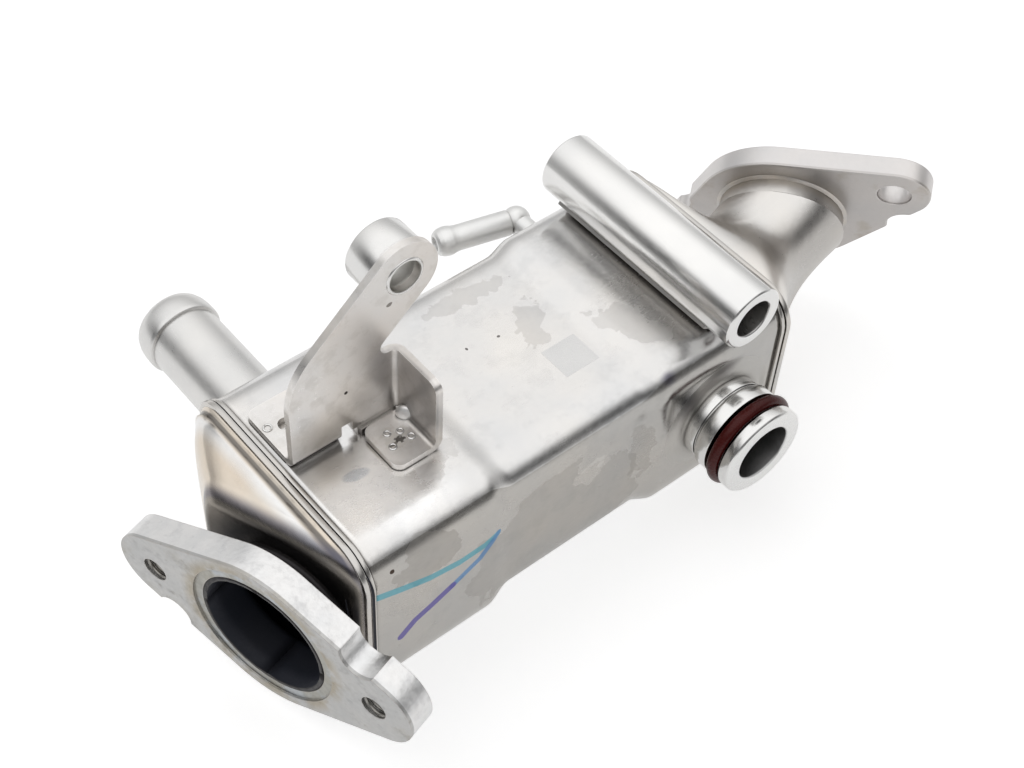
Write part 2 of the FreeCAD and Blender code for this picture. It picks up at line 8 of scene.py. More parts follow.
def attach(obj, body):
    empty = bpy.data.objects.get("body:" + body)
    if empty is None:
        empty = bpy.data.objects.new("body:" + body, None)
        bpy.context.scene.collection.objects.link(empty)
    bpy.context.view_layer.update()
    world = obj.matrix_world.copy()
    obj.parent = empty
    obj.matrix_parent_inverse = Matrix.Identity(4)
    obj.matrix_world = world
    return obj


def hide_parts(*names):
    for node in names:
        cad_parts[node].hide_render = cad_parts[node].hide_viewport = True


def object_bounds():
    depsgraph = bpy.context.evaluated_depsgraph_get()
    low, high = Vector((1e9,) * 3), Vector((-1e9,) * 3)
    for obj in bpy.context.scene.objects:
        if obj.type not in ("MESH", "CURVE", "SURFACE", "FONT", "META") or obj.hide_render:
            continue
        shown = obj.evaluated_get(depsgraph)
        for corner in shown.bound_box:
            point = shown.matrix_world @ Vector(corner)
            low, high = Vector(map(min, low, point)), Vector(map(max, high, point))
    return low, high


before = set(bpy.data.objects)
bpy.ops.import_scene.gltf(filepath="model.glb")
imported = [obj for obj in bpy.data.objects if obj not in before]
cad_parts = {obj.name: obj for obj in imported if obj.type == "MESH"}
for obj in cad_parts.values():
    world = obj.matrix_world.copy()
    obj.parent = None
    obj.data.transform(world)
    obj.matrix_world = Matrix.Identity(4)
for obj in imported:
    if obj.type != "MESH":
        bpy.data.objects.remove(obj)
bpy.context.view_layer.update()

# Casing: a deep drawn stainless box with a coolant chamber at each end and a shallow waist.
# Brazing left it satin with straw tint, and dried liquid left matt patches. All pieces are
# shaped in millimetres from the core axis, then put into the frame.
core_to_frame = Matrix.Scale(0.001, 4) @ Matrix.Translation((20.3, 17.4, 0.3))
along = Vector((1, 0, 0))
across = Vector((0, 1, 0))
upward = Vector((0, 0, 1))
sheet_thickness = 1.2
casing_start, casing_end = 1.0, 131.6
chamber_half_width, chamber_half_height, chamber_corner = 33.4, 27.2, 9.0
waist_start, waist_start_ramp = 36.2, 7.6
waist_end, waist_end_ramp = 93.4, 8.4
waist_side_step, waist_top_step, waist_floor_step = 1.2, 1.5, 3.0
spigot_place = Vector((111.4, -chamber_half_width, 0.8))
nipple_place = Vector((16.2, chamber_half_width, 0.0))
vent_place = Vector((104.7, chamber_half_width, 15.7))
casing_holes = ((spigot_place, 9.0), (nipple_place, 9.2), (vent_place, 2.6))


def bevelled(bm, geom, affect, offset, segments=2, clamp=True):
    bmesh.ops.bevel(
        bm, geom=geom, affect=affect, offset=offset, offset_type="OFFSET", segments=segments, profile=0.5,
        material=-1, clamp_overlap=clamp)


def rounded_loop(bm, place, half_width, half_height, corner, cuts):
    # A rounded rectangle made of a plane with bevelled corners, without its face
    bends = 8
    verts = bmesh.ops.create_grid(bm, x_segments=1, y_segments=1, size=1.0)["verts"]
    bmesh.ops.scale(bm, vec=(half_width, half_height, 1), verts=verts)
    bevelled(bm, verts, "VERTICES", corner, bends, clamp=False)
    face = next(f for f in bm.faces if len(f.verts) == 4 * bends + 4)
    sides = [e for e in face.edges
             if all(abs(abs(e.verts[0].co[k]) - abs(e.verts[1].co[k])) < 1e-4 for k in (0, 1))]
    bmesh.ops.subdivide_edges(bm, edges=sides, cuts=cuts)
    face = next(f for f in bm.faces if len(f.verts) == 4 * (bends + 1 + cuts))
    edges = list(face.edges)
    bmesh.ops.transform(bm, matrix=place, verts=list(face.verts))
    bmesh.ops.delete(bm, geom=[face], context="FACES_ONLY")
    return edges


def bridged(bm, loops, closed=False):
    pairs = list(zip(loops, loops[1:])) + ([(loops[-1], loops[0])] if closed else [])
    for first, second in pairs:
        bmesh.ops.bridge_loops(bm, edges=first + second)


def facing(origin, normal):
    # Local z is the normal, and local y leans upwards
    side = upward.cross(normal).normalized()
    rise = normal.cross(side)
    return Matrix.Translation(origin) @ Matrix((side, rise, normal)).transposed().to_4x4()


def moved(bm, matrix):
    bmesh.ops.transform(bm, matrix=matrix, verts=bm.verts[:])
    return bm


def linked(name, data):
    thing = bpy.data.objects.new(name, data)
    bpy.context.scene.collection.objects.link(thing)
    return thing


def as_object(bm, name):
    mesh = bpy.data.meshes.new(name)
    bm.to_mesh(mesh)
    bm.free()
    return linked(name, mesh)


def finished(bm, name, material, stands_for=(), crease=38.0):
    bmesh.ops.recalc_face_normals(bm, faces=bm.faces[:])
    moved(bm, core_to_frame)
    for face in bm.faces:
        face.smooth = True
    for edge in bm.edges:
        if len(edge.link_faces) == 2 and edge.calc_face_angle(0) > math.radians(crease):
            edge.smooth = False
    piece = as_object(bm, name)
    piece.data.materials.append(material)
    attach(piece, "root")
    if stands_for:
        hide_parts(*stands_for)
    return piece


def walled(piece):
    sheet = piece.modifiers.new("sheet", "SOLIDIFY")
    sheet.thickness = sheet_thickness * 0.001
    sheet.offset = -1.0
    return piece


def feed(tree, node, feeds):
    # Each input takes a link from a socket, or else a plain value
    for key, value in feeds.items():
        if isinstance(value, bpy.types.NodeSocket):
            tree.links.new(value, node.inputs[key])
        else:
            node.inputs[key].default_value = value
    return node


def wired(tree, kind, feeds=None, **settings):
    node = tree.nodes.new(kind)
    for key, value in settings.items():
        setattr(node, key, value)
    return feed(tree, node, feeds or {})


def placed(tree, group, feeds):
    return wired(tree, "ShaderNodeGroup", feeds, node_tree=group)


def coordinate(tree):
    return wired(tree, "ShaderNodeTexCoord").outputs["Object"]


def calc(tree, operation, *values, **settings):
    return wired(tree, "ShaderNodeMath", dict(enumerate(values)), operation=operation, **settings).outputs[0]


def vector_calc(tree, operation, *values, **named):
    node = wired(tree, "ShaderNodeVectorMath", {**dict(enumerate(values)), **named}, operation=operation)
    return node.outputs["Value" if operation in ("DOT_PRODUCT", "LENGTH") else "Vector"]


def remapped(tree, value, low, high, to_low=0.0, to_high=1.0, **settings):
    feeds = {"Value": value, "From Min": low, "From Max": high, "To Min": to_low, "To Max": to_high}
    return wired(tree, "ShaderNodeMapRange", feeds, **settings).outputs[0]


def mixed(tree, share, first, second, blend="MIX"):
    feeds = {"Factor": share, "A": first, "B": second}
    return wired(tree, "ShaderNodeMix", feeds, data_type="RGBA", blend_type=blend).outputs["Result"]


def noise(tree, vector, scale, detail, roughness=0.5):
    feeds = {"Vector": vector, "Scale": scale, "Detail": detail, "Roughness": roughness}
    return wired(tree, "ShaderNodeTexNoise", feeds).outputs["Fac"]


def new_material(name):
    material = bpy.data.materials.new(name)
    material.use_nodes = True
    return material, material.node_tree, material.node_tree.nodes["Principled BSDF"]


def effect(name, inputs, labels, output_kind="NodeSocketFloat"):
    # An empty node group: its tree, what is given to it and where its results go
    tree = bpy.data.node_groups.new(name, "ShaderNodeTree")
    for label, value in inputs.items():
        size = 1 if isinstance(value, float) else len(value)
        kind = {1: "NodeSocketFloat", 3: "NodeSocketVector", 4: "NodeSocketColor"}[size]
        tree.interface.new_socket(name=label, in_out="INPUT", socket_type=kind).default_value = value
    for label in labels:
        tree.interface.new_socket(name=label, in_out="OUTPUT", socket_type=output_kind)
    return tree, tree.nodes.new("NodeGroupInput").outputs, tree.nodes.new("NodeGroupOutput").inputs


def make_grain():
    # Rolled or cast grain: fine streaks for bump and roughness, and a broad cloud
    tree, given, result = effect(
        "metal grain", {"Stretch": (1, 1, 1), "Fine": 900.0, "Broad": 60.0}, ("Grain", "Cloud"))
    place = coordinate(tree)
    pulled = vector_calc(tree, "MULTIPLY", place, given["Stretch"])
    tree.links.new(noise(tree, pulled, given["Fine"], 3.0, 0.6), result["Grain"])
    tree.links.new(noise(tree, place, given["Broad"], 4.0), result["Cloud"])
    return tree


def make_tint():
    # Heat tint: straw over the bare steel, stronger where the broad cloud is high
    tree, given, result = effect(
        "heat tint", {"Steel": (0.6, 0.6, 0.6, 1), "Straw": (0.6, 0.5, 0.35, 1), "Cloud": 0.5, "Amount": 0.5},
        ("Color",), "NodeSocketColor")
    spread = remapped(tree, given["Cloud"], 0.35, 0.7)
    share = calc(tree, "MULTIPLY", spread, given["Amount"])
    straw = mixed(tree, share, given["Steel"], given["Straw"])
    level = remapped(tree, given["Cloud"], 0.25, 0.75, 0.90, 1.08)
    tree.links.new(vector_calc(tree, "SCALE", straw, Scale=level), result["Color"])
    return tree


def make_sharp_edge_group():
    # Mask of sharp edges within the given radius: mostly for a painted highlight, partly rubbed wear
    tree, given, result = effect("sharp edges", {"Radius": 0.0006}, ("Edge Mask",))
    normal = wired(tree, "ShaderNodeNewGeometry").outputs["Normal"]
    eased = wired(tree, "ShaderNodeBevel", {"Radius": given["Radius"]}, samples=4).outputs[0]
    same = vector_calc(tree, "DOT_PRODUCT", normal, eased)
    tree.links.new(remapped(tree, same, 0.995, 0.86), result["Edge Mask"])
    return tree


def make_corner_shade_group():
    # Painted shade in the corners where two pieces meet, from ambient occlusion
    tree, given, result = effect("corner_shade_group", {"Reach": 0.0015}, ("Corner Shade",))
    closed = wired(tree, "ShaderNodeAmbientOcclusion", {"Distance": given["Reach"]}, samples=6)
    tree.links.new(remapped(tree, closed.outputs["AO"], 0.8, 0.42), result["Corner Shade"])
    return tree


def make_blot_and_light_patch():
    # One ragged patch round a centre, with Reach for its half sizes, for stains and for painted light and
    # shade
    inputs = {"Centre": (0, 0, 0), "Reach": (1, 1, 1), "Turn": 0.0, "Ragged": 0.5, "Scale": 200.0,
              "Soft": 0.1}
    tree, given, result = effect("blot_and_light_patch", inputs, ("Mask",))
    place = coordinate(tree)
    away = vector_calc(tree, "SUBTRACT", place, given["Centre"])
    spun = wired(tree, "ShaderNodeVectorRotate", {"Vector": away, "Angle": given["Turn"]},
                 rotation_type="Z_AXIS").outputs[0]
    far = vector_calc(tree, "LENGTH", vector_calc(tree, "DIVIDE", spun, given["Reach"]))
    drift = calc(tree, "SUBTRACT", noise(tree, place, given["Scale"], 3.0), 0.5)
    border = calc(tree, "MULTIPLY_ADD", drift, given["Ragged"], far)
    firm = calc(tree, "SUBTRACT", 1.0, given["Soft"])
    tree.links.new(remapped(tree, border, 1.0, firm, interpolation_type="SMOOTHSTEP"), result["Mask"])
    return tree


def make_stroke():
    # One straight piece of a marker pen's line, seen square to the casing's side
    tree, given, result = effect(
        "pen stroke", {"Start": (0, 0, 0), "Finish": (1, 0, 0), "Half Width": 0.001}, ("Mask",))
    blur = 0.0003
    level = vector_calc(tree, "MULTIPLY", coordinate(tree), (1, 0, 1))
    away = vector_calc(tree, "SUBTRACT", level, given["Start"])
    run = vector_calc(tree, "SUBTRACT", given["Finish"], given["Start"])
    gone = vector_calc(tree, "DOT_PRODUCT", away, run)
    whole = vector_calc(tree, "DOT_PRODUCT", run, run)
    share = calc(tree, "DIVIDE", gone, whole, use_clamp=True)
    foot = vector_calc(tree, "SCALE", run, Scale=share)
    gap = vector_calc(tree, "LENGTH", vector_calc(tree, "SUBTRACT", away, foot))
    rim = calc(tree, "SUBTRACT", given["Half Width"], blur)
    tree.links.new(remapped(tree, gap, given["Half Width"], rim), result["Mask"])
    return tree


metal_grain = make_grain()
heat_tint = make_tint()
sharp_edge_group = make_sharp_edge_group()
corner_shade_group = make_corner_shade_group()
blot_and_light_patch = make_blot_and_light_patch()
pen_stroke = make_stroke()


def spot(x, y, z, reach, turn, ragged, scale, soft=0.12):
    # Mask of one ragged patch, by its place and half sizes in core millimetres; stains and painted light and
    # shade use it
    feeds = {"Centre": core_to_frame @ Vector((x, y, z)), "Reach": Vector(reach) * 0.001,
             "Turn": math.radians(turn), "Ragged": ragged, "Scale": scale, "Soft": soft}
    return lambda tree: placed(tree, blot_and_light_patch, feeds).outputs[0]


def flecks(cover, scale, seed):
    # Mask of ragged patches all over a surface
    def mask(tree):
        feeds = {"Vector": coordinate(tree), "W": seed, "Scale": scale, "Detail": 5.0, "Roughness": 0.6}
        blot = wired(tree, "ShaderNodeTexNoise", feeds, noise_dimensions="4D").outputs["Fac"]
        return remapped(tree, blot, 1 - cover, 1.12 - cover)
    return mask


def near_side(tree):
    # Mask of the casing's -Y side
    parts = wired(tree, "ShaderNodeSeparateXYZ", {0: coordinate(tree)})
    limit = (core_to_frame @ Vector((0, -31.0, 0))).y
    return calc(tree, "LESS_THAN", parts.outputs["Y"], limit)


def pen_line(points, half_width):
    # Mask of a pen's line through (x, z) points on the casing's -Y side
    def mask(tree):
        line = 0.0
        for first, second in zip(points, points[1:]):
            start, finish = [core_to_frame @ Vector((x, 0, z)) for x, z in (first, second)]
            feeds = {"Start": (start.x, 0, start.z), "Finish": (finish.x, 0, finish.z),
                     "Half Width": half_width * 0.001}
            line = calc(tree, "MAXIMUM", placed(tree, pen_stroke, feeds).outputs[0], line)
        return calc(tree, "MULTIPLY", line, near_side(tree))
    return mask


def shade(mask, colour, gain=0.0, strength=1.0):
    # A mark that multiplies the paint, and adds gain to the roughness
    return mask, colour, "MULTIPLY", strength, gain


def coat(mask, colour, strength, gain=0.0):
    # A mark that covers the paint
    return mask, colour, "MIX", strength, gain


def steel(name, colour, straw, roughness, tint=0.5, stretch=(1, 1, 1), fine=900.0, broad=60.0,
          relief=0.000005, spread=0.1, smudge=0.12, wave=0.0, edge_amount=0.4, radius=0.0005,
          bright=(0.86, 0.85, 0.83), corner_shade_amount=0.6, reach=0.0015, marks=()):
    # One metal finish: tint over the bare colour, marks of its own, painted shade in the corners, an edge
    # colour on sharp edges (mostly a painted highlight, with some rubbed wear), and grain in roughness and
    # bump
    corner_shade_colour = (0.07, 0.062, 0.055)
    material, tree, shader = new_material(name)
    grain = placed(tree, metal_grain, {"Stretch": stretch, "Fine": fine, "Broad": broad}).outputs
    paint = placed(tree, heat_tint, {"Steel": (*colour, 1), "Straw": (*straw, 1), "Cloud": grain["Cloud"],
                                     "Amount": tint}).outputs["Color"]
    rough = remapped(tree, grain["Grain"], 0.25, 0.75, roughness - spread / 2, roughness + spread / 2)
    smear = calc(tree, "SUBTRACT", grain["Cloud"], 0.5)
    rough = calc(tree, "MULTIPLY_ADD", smear, smudge, rough)
    for mask, hue, blend, strength, gain in marks:
        cover = calc(tree, "MULTIPLY", mask(tree), strength)
        paint = mixed(tree, cover, paint, (*hue, 1), blend)
        if gain:
            rough = calc(tree, "MULTIPLY_ADD", cover, gain, rough)
    # Painted shade: corners and gaps darkened by ambient occlusion
    if corner_shade_amount > 0:
        occluded = placed(tree, corner_shade_group, {"Reach": reach}).outputs[0]
        paint = mixed(tree, calc(tree, "MULTIPLY", occluded, corner_shade_amount), paint, (*corner_shade_colour, 1))
    # Painted highlight along sharp edges, partly rubbed wear
    if edge_amount > 0:
        on_edge = placed(tree, sharp_edge_group, {"Radius": radius}).outputs[0]
        paint = mixed(tree, calc(tree, "MULTIPLY", on_edge, edge_amount), paint, (*bright, 1))
    bump = wired(tree, "ShaderNodeBump", {"Height": grain["Grain"], "Distance": relief})
    if wave > 0:
        swell = wired(tree, "ShaderNodeBump", {"Height": grain["Cloud"], "Distance": wave})
        feed(tree, bump, {"Normal": swell.outputs[0]})
    feed(tree, shader, {"Base Color": paint, "Roughness": rough, "Normal": bump.outputs[0], "Metallic": 1.0})
    return material


def waist_share(x):
    # Share of the waist's depth at a place along the casing, eased over each ramp
    rise = min(max((x - waist_start) / waist_start_ramp, 0), 1)
    fall = min(max((waist_end - x) / waist_end_ramp, 0), 1)
    return (rise * rise * (3 - 2 * rise)) * (fall * fall * (3 - 2 * fall))


def build_casing():
    bm = bmesh.new()
    stations = [casing_start] + [3.0 * k for k in range(1, 12)] + [35.4 + 0.9 * k for k in range(11)]
    stations += [48.0 + 4.0 * k for k in range(10)] + [84.8 + 0.9 * k for k in range(11)]
    stations += [95.3 + 1.5 * k for k in range(24)] + [casing_end]
    loops = []
    for x in stations:
        share = waist_share(x)
        half_width = chamber_half_width - waist_side_step * share
        top = chamber_half_height - waist_top_step * share
        floor = chamber_half_height - waist_floor_step * share
        place = facing(Vector((x, 0, (top - floor) / 2)), along)
        loops.append(rounded_loop(bm, place, half_width, (top + floor) / 2, chamber_corner, 20))
    bridged(bm, loops)
    # Round holes for the spigot, the hose nipple and the vent elbow
    for centre, radius in casing_holes:
        inside = [v for v in bm.verts if (v.co - centre).length < radius]
        bmesh.ops.delete(bm, geom=inside, context="VERTS")
        rim = [v for v in bm.verts
               if (v.co - centre).length < radius + 5 and any(e.is_boundary for e in v.link_edges)]
        for vert in rim:
            away = vert.co - centre
            share = radius / math.hypot(away.x, away.z)
            vert.co = centre + Vector((away.x * share, away.y, away.z * share))
    return bm


dried = (0.90, 0.895, 0.89)
damp = (0.86, 0.85, 0.84)
# Painted shade: the casing's whole -Y side darkened
side_shade = shade(near_side, (0.675, 0.662, 0.64))
top_marks = [
    # Painted light over the top by the inlet end, a darker field, mottling, dried liquid and two specks
    shade(spot(16.0, -18.0, 27.2, (21.0, 18.0, 3.0), 20, 0.5, 60.0, 0.7), (1.34, 1.34, 1.34), 0.04),
    shade(spot(12.0, -6.5, 27.2, (10.0, 5.0, 2.0), 0, 0.5, 60.0, 0.9), (0.84, 0.83, 0.82)),
    shade(flecks(0.50, 170.0, 3.3), (0.955, 0.957, 0.96), 0.03),
    shade(flecks(0.36, 420.0, 6.1), (0.93, 0.93, 0.93), 0.05),
    shade(spot(69.5, 20.2, 25.7, (11.5, 3.0, 4.0), 4, 2.6, 230.0, 0.05), dried, 0.12),
    shade(spot(78.4, 3.6, 25.7, (4.0, 7.5, 4.0), 38, 2.6, 200.0, 0.05), dried, 0.12),
    shade(spot(96.5, -12.5, 26.5, (4.6, 11.5, 4.0), -24, 2.6, 180.0, 0.05), dried, 0.10),
    shade(spot(13.5, -10.0, 27.2, (4.4, 2.0, 2.0), 10, 0.7, 110.0, 0.3), (0.76, 0.79, 0.83), 0.05, 0.9),
    shade(spot(30.0, -18.0, 27.2, (7.0, 3.5, 2.0), -20, 2.6, 260.0, 0.05), dried, 0.08, 0.8),
    shade(spot(68.0, 4.5, 25.7, (0.5, 0.4, 1.0), 0, 0.5, 900.0), (0.2, 0.19, 0.19), 0.2, 0.9),
    shade(spot(59.0, 6.0, 25.7, (0.35, 0.5, 1.0), 0, 0.5, 900.0), (0.2, 0.19, 0.19), 0.2, 0.9),
]
side_marks = [
    # Two matt areas with a firm border, and a lighter island in the second
    shade(spot(15.5, -33.4, 17.0, (8.5, 4.0, 7.5), 0, 2.4, 120.0, 0.05), damp, 0.10),
    shade(spot(57.0, -32.6, -5.0, (29.0, 5.0, 19.5), 0, 1.1, 110.0, 0.03), dried, 0.10),
    shade(spot(69.0, -32.4, 8.3, (5.0, 4.0, 4.2), 0, 2.2, 220.0, 0.05), (1.14, 1.14, 1.14), -0.06),
]
outlet_side_marks = [
    # A damp patch, painted shade round the spigot's seat, a painted dark reflection with a bluish heat
    # tint at the chamber's shoulder, and a speck
    shade(spot(86.0, -33.0, 3.0, (4.5, 4.0, 10.0), 0, 2.4, 160.0, 0.05), damp, 0.06, 0.8),
    shade(spot(112.0, -34.0, 0.0, (19.5, 6.0, 19.5), 0, 0.6, 120.0, 0.75), (0.84, 0.83, 0.82), -0.03),
    shade(spot(99.4, -34.0, 13.5, (5.5, 4.0, 8.0), 0, 0.3, 90.0, 0.9), (0.42, 0.42, 0.44), -0.03, 0.95),
    shade(spot(112.0, -34.0, 17.6, (8.5, 4.0, 2.2), 0, 0.3, 90.0, 0.9), (0.50, 0.49, 0.50), -0.03, 0.9),
    shade(spot(93.5, -31.5, 24.5, (3.6, 3.0, 2.6), 0, 0.6, 140.0, 0.8), (0.36, 0.35, 0.46), 0.0, 0.85),
    shade(spot(6.5, -33.0, 20.6, (0.7, 2.0, 0.6), 0, 0.6, 900.0), (0.16, 0.12, 0.10), 0.2),
]
pen_marks = [
    # A teal line and a second one, violet at its low end, that meet at the waist
    coat(pen_line(((0.9, 14.8), (8.4, 11.9), (17.1, 8.9), (26.2, 7.3), (33.8, 7.6), (37.7, 9.0)), 1.3),
         (0.085, 0.36, 0.44), 0.82, 0.10),
    coat(pen_line(((24.0, -0.6), (32.4, 3.4), (37.9, 9.1)), 1.15), (0.10, 0.24, 0.46), 0.85, 0.10),
    coat(pen_line(((8.6, -8.2), (12.7, -5.0), (17.2, -3.4), (24.0, -0.6)), 1.35),
         (0.11, 0.085, 0.33), 0.88, 0.10),
]
casing_steel = steel(
    "casing steel", (0.695, 0.692, 0.69), (0.70, 0.665, 0.62), 0.22, tint=0.6, stretch=(0.35, 1, 1),
    fine=1500.0, broad=38.0, relief=0.000007, wave=0.0003, spread=0.12, smudge=0.2, edge_amount=0.15, reach=0.0014,
    marks=[side_shade] + top_marks + side_marks + outlet_side_marks + pen_marks)
walled(finished(build_casing(), "casing_skin", casing_steel, ["casing"]))


# Marking field: the bare frosted patch etched on the top of the waist, 10.6 by 10 mm. It is
# matt and slightly duller than the satin sheet round it.
def build_marking_field():
    bm = bmesh.new()
    verts = bmesh.ops.create_grid(bm, x_segments=8, y_segments=8, size=1.0)["verts"]
    place = Matrix.Translation((78.2, -11.2, 25.72)) @ Matrix.Diagonal((5.3, 5.0, 1, 1))
    bmesh.ops.transform(bm, matrix=place, verts=verts)
    grown = bmesh.ops.extrude_face_region(bm, geom=bm.faces[:])["geom"]
    bmesh.ops.translate(bm, vec=(0, 0, -0.3), verts=[g for g in grown if isinstance(g, bmesh.types.BMVert)])
    return bm


frosted_steel = steel(
    "frosted steel", (0.655, 0.65, 0.645), (0.65, 0.64, 0.62), 0.30, fine=2400.0, relief=0.000012, edge_amount=0.0,
    corner_shade_amount=0.0)
finished(build_marking_field(), "marking_field", frosted_steel)


# Spigot pad: the low round seat that stands 1.2 mm out of the casing's side under the spigot,
# of the same sheet but less bright
def build_pad():
    bm = bmesh.new()
    loops = []
    for radius, height in ((10.5, 0.5), (11.5, 1.2), (13.4, 1.2), (14.2, 1.12), (15.0, 0.86), (15.8, 0.48),
                           (16.6, 0.2), (17.4, 0.06), (18.1, -0.02), (18.1, -0.5), (10.5, -0.5)):
        verts = bmesh.ops.create_circle(bm, cap_ends=False, radius=radius, segments=96)["verts"]
        bmesh.ops.translate(bm, vec=(0, 0, height), verts=verts)
        loops.append(list({e for v in verts for e in v.link_edges}))
    bridged(bm, loops, closed=True)
    return moved(bm, facing(spigot_place, -across))


pad_steel = steel(
    "pad steel", (0.76, 0.757, 0.75), (0.75, 0.72, 0.68), 0.42, tint=0.6, fine=1500.0, broad=38.0, edge_amount=0.0,
    corner_shade_amount=0.2, reach=0.003, marks=[side_shade] + outlet_side_marks + pen_marks)
finished(build_pad(), "spigot_pad", pad_steel)

# Inlet tank: a pressed sheet cover on the core's end. Its roof falls to a front wall that
# stands parallel to the flange and carries the round neck. The gas side has a blue-black
# film, and so have the header plates, gas tubes and fins behind it.
inlet_face = Vector((-20.3, -17.4, -0.3))
inlet_normal = Matrix.Rotation(math.radians(16.0), 3, "Z") @ -along
inlet_wall = inlet_face - inlet_normal * 12.0
inlet_side = upward.cross(inlet_normal).normalized()
inlet_neck_radius = 18.2


def neck_loops(bm, start, normal, stations, cuts):
    # Round loops at (radius, length) pairs along a neck
    return [rounded_loop(bm, facing(start + normal * length, normal), radius, radius, radius - 0.02, cuts)
            for radius, length in stations]


def bore_shade(point, normal, radius, soft=0.2):
    # Mask of what lies within a radius of an axis, such as the inside of a bore
    def mask(tree):
        away = vector_calc(tree, "SUBTRACT", coordinate(tree), core_to_frame @ point)
        wall = vector_calc(tree, "CROSS_PRODUCT", away, normal.normalized())
        length = vector_calc(tree, "LENGTH", wall)
        return remapped(tree, length, (radius + 0.1 + soft) * 0.001, (radius + 0.1) * 0.001)
    return mask


def depth_band(point, normal, clear, full):
    # Mask that grows from the depth clear to the depth full below a point, against a normal
    def mask(tree):
        away = vector_calc(tree, "SUBTRACT", core_to_frame @ point, coordinate(tree))
        depth = vector_calc(tree, "DOT_PRODUCT", away, normal.normalized())
        return remapped(tree, depth, clear * 0.001, full * 0.001, interpolation_type="SMOOTHSTEP")
    return mask


def both(first, second):
    return lambda tree: calc(tree, "MULTIPLY", first(tree), second(tree))


def dull_material(name, dark, light, fine, broad, roughness, specular):
    # Not metal: two tones in the shared grain, a span of roughness and a faint bump
    material, tree, shader = new_material(name)
    grain = placed(tree, metal_grain, {"Fine": fine, "Broad": broad}).outputs
    bump = wired(tree, "ShaderNodeBump", {"Height": grain["Grain"], "Distance": 0.00001})
    feed(tree, shader, {"Base Color": mixed(tree, grain["Cloud"], (*dark, 1), (*light, 1)),
                        "Roughness": remapped(tree, grain["Grain"], 0.0, 1.0, *roughness),
                        "Normal": bump.outputs[0], "Specular IOR Level": specular})
    return material


gas_film = dull_material(
    "gas side film", (0.010, 0.013, 0.024), (0.030, 0.031, 0.038), 1200.0, 70.0, (0.55, 0.8), 0.3)
for name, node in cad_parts.items():
    if name.endswith("header_plate") or name.startswith(("gas_tube", "tube_fin")):
        node.data.materials.clear()
        node.data.materials.append(gas_film)


def inlet_section(bm, share, turn=0.0):
    # The core's rounded section carried towards the front wall, which is parallel to the
    # flange: the roof and floor fall, the far side closes in, and turn eases the front edge
    ease = 3.6
    rim_x, fall_x = -0.3, -2.2
    groove_x, groove_half, groove_depth = -2.9, 1.3, 0.75
    wall_middle, wall_half_width, wall_half_height, neck_clear = -1.35, 22.0, 23.0, 20.0
    width, height = chamber_half_width, chamber_half_height
    edges = rounded_loop(bm, facing(Vector(), along), width, height, chamber_corner, 10)
    for vert in {v for e in edges for v in e.verts}:
        nominal = vert.co.copy()
        y = nominal.y
        # The wall's place depends on y and y on how far the side has closed in, so both settle
        for _ in range(40):
            reach = inlet_wall.x + (ease - (y - inlet_wall.y) * -inlet_normal.y) / -inlet_normal.x
            x = rim_x + (reach - rim_x) * share
            fall = max(0.0, fall_x - x)
            roof = height - (0.125 * fall * fall if fall < 2 else 0.5 * fall - 0.5)
            side = width - 0.35 * fall - 0.12 * fall * fall
            groove = groove_depth * max(0.0, 1 - ((x - groove_x) / groove_half) ** 2) ** 2
            roof -= groove
            side -= groove
            y = (y - width + (nominal.y + width) * (width + side) / (2 * width)) / 2
        away = Vector((x, y, nominal.z * roof / height)) - inlet_wall
        lateral, rise, back = away.dot(inlet_side), away.z, away.dot(inlet_normal)
        if turn > 0:
            inset = ease * (1 - math.cos(turn))
            lateral = wall_middle + (lateral - wall_middle) * (1 - inset / wall_half_width)
            rise *= 1 - inset / wall_half_height
            back += ease * math.sin(turn)
        clear = max(neck_clear / max(math.hypot(lateral, rise), 1e-6), 1)
        vert.co = inlet_wall + inlet_side * lateral * clear + upward * rise * clear + inlet_normal * back
    return edges


def build_inlet_tank():
    bm = bmesh.new()
    bend = 1.2
    quarter = [math.radians(18 * k) for k in range(6)]
    neck = [(inlet_neck_radius + bend * (1 - math.sin(a)), bend * (1 - math.cos(a))) for a in quarter]
    neck += [(inlet_neck_radius, length) for length in (3.4, 7.0, 11.4)]
    loops = [inlet_section(bm, k / 32) for k in range(33)]
    loops += [inlet_section(bm, 1.0, math.radians(15 * k)) for k in range(1, 7)]
    bridged(bm, loops + neck_loops(bm, inlet_wall, inlet_normal, neck, 10))
    settled = [v for v in bm.verts if v.co.x < -4.6 and (inlet_face - v.co).dot(inlet_normal) > 12.2]
    for _ in range(14):
        bmesh.ops.smooth_vert(
            bm, verts=settled, factor=0.5, use_axis_x=True, use_axis_y=True, use_axis_z=True)
    return bm


def lined(piece):
    # Gives a sheet piece its inner side with the gas film
    piece.data.materials.append(gas_film)
    piece.modifiers["sheet"].material_offset = 1
    return piece


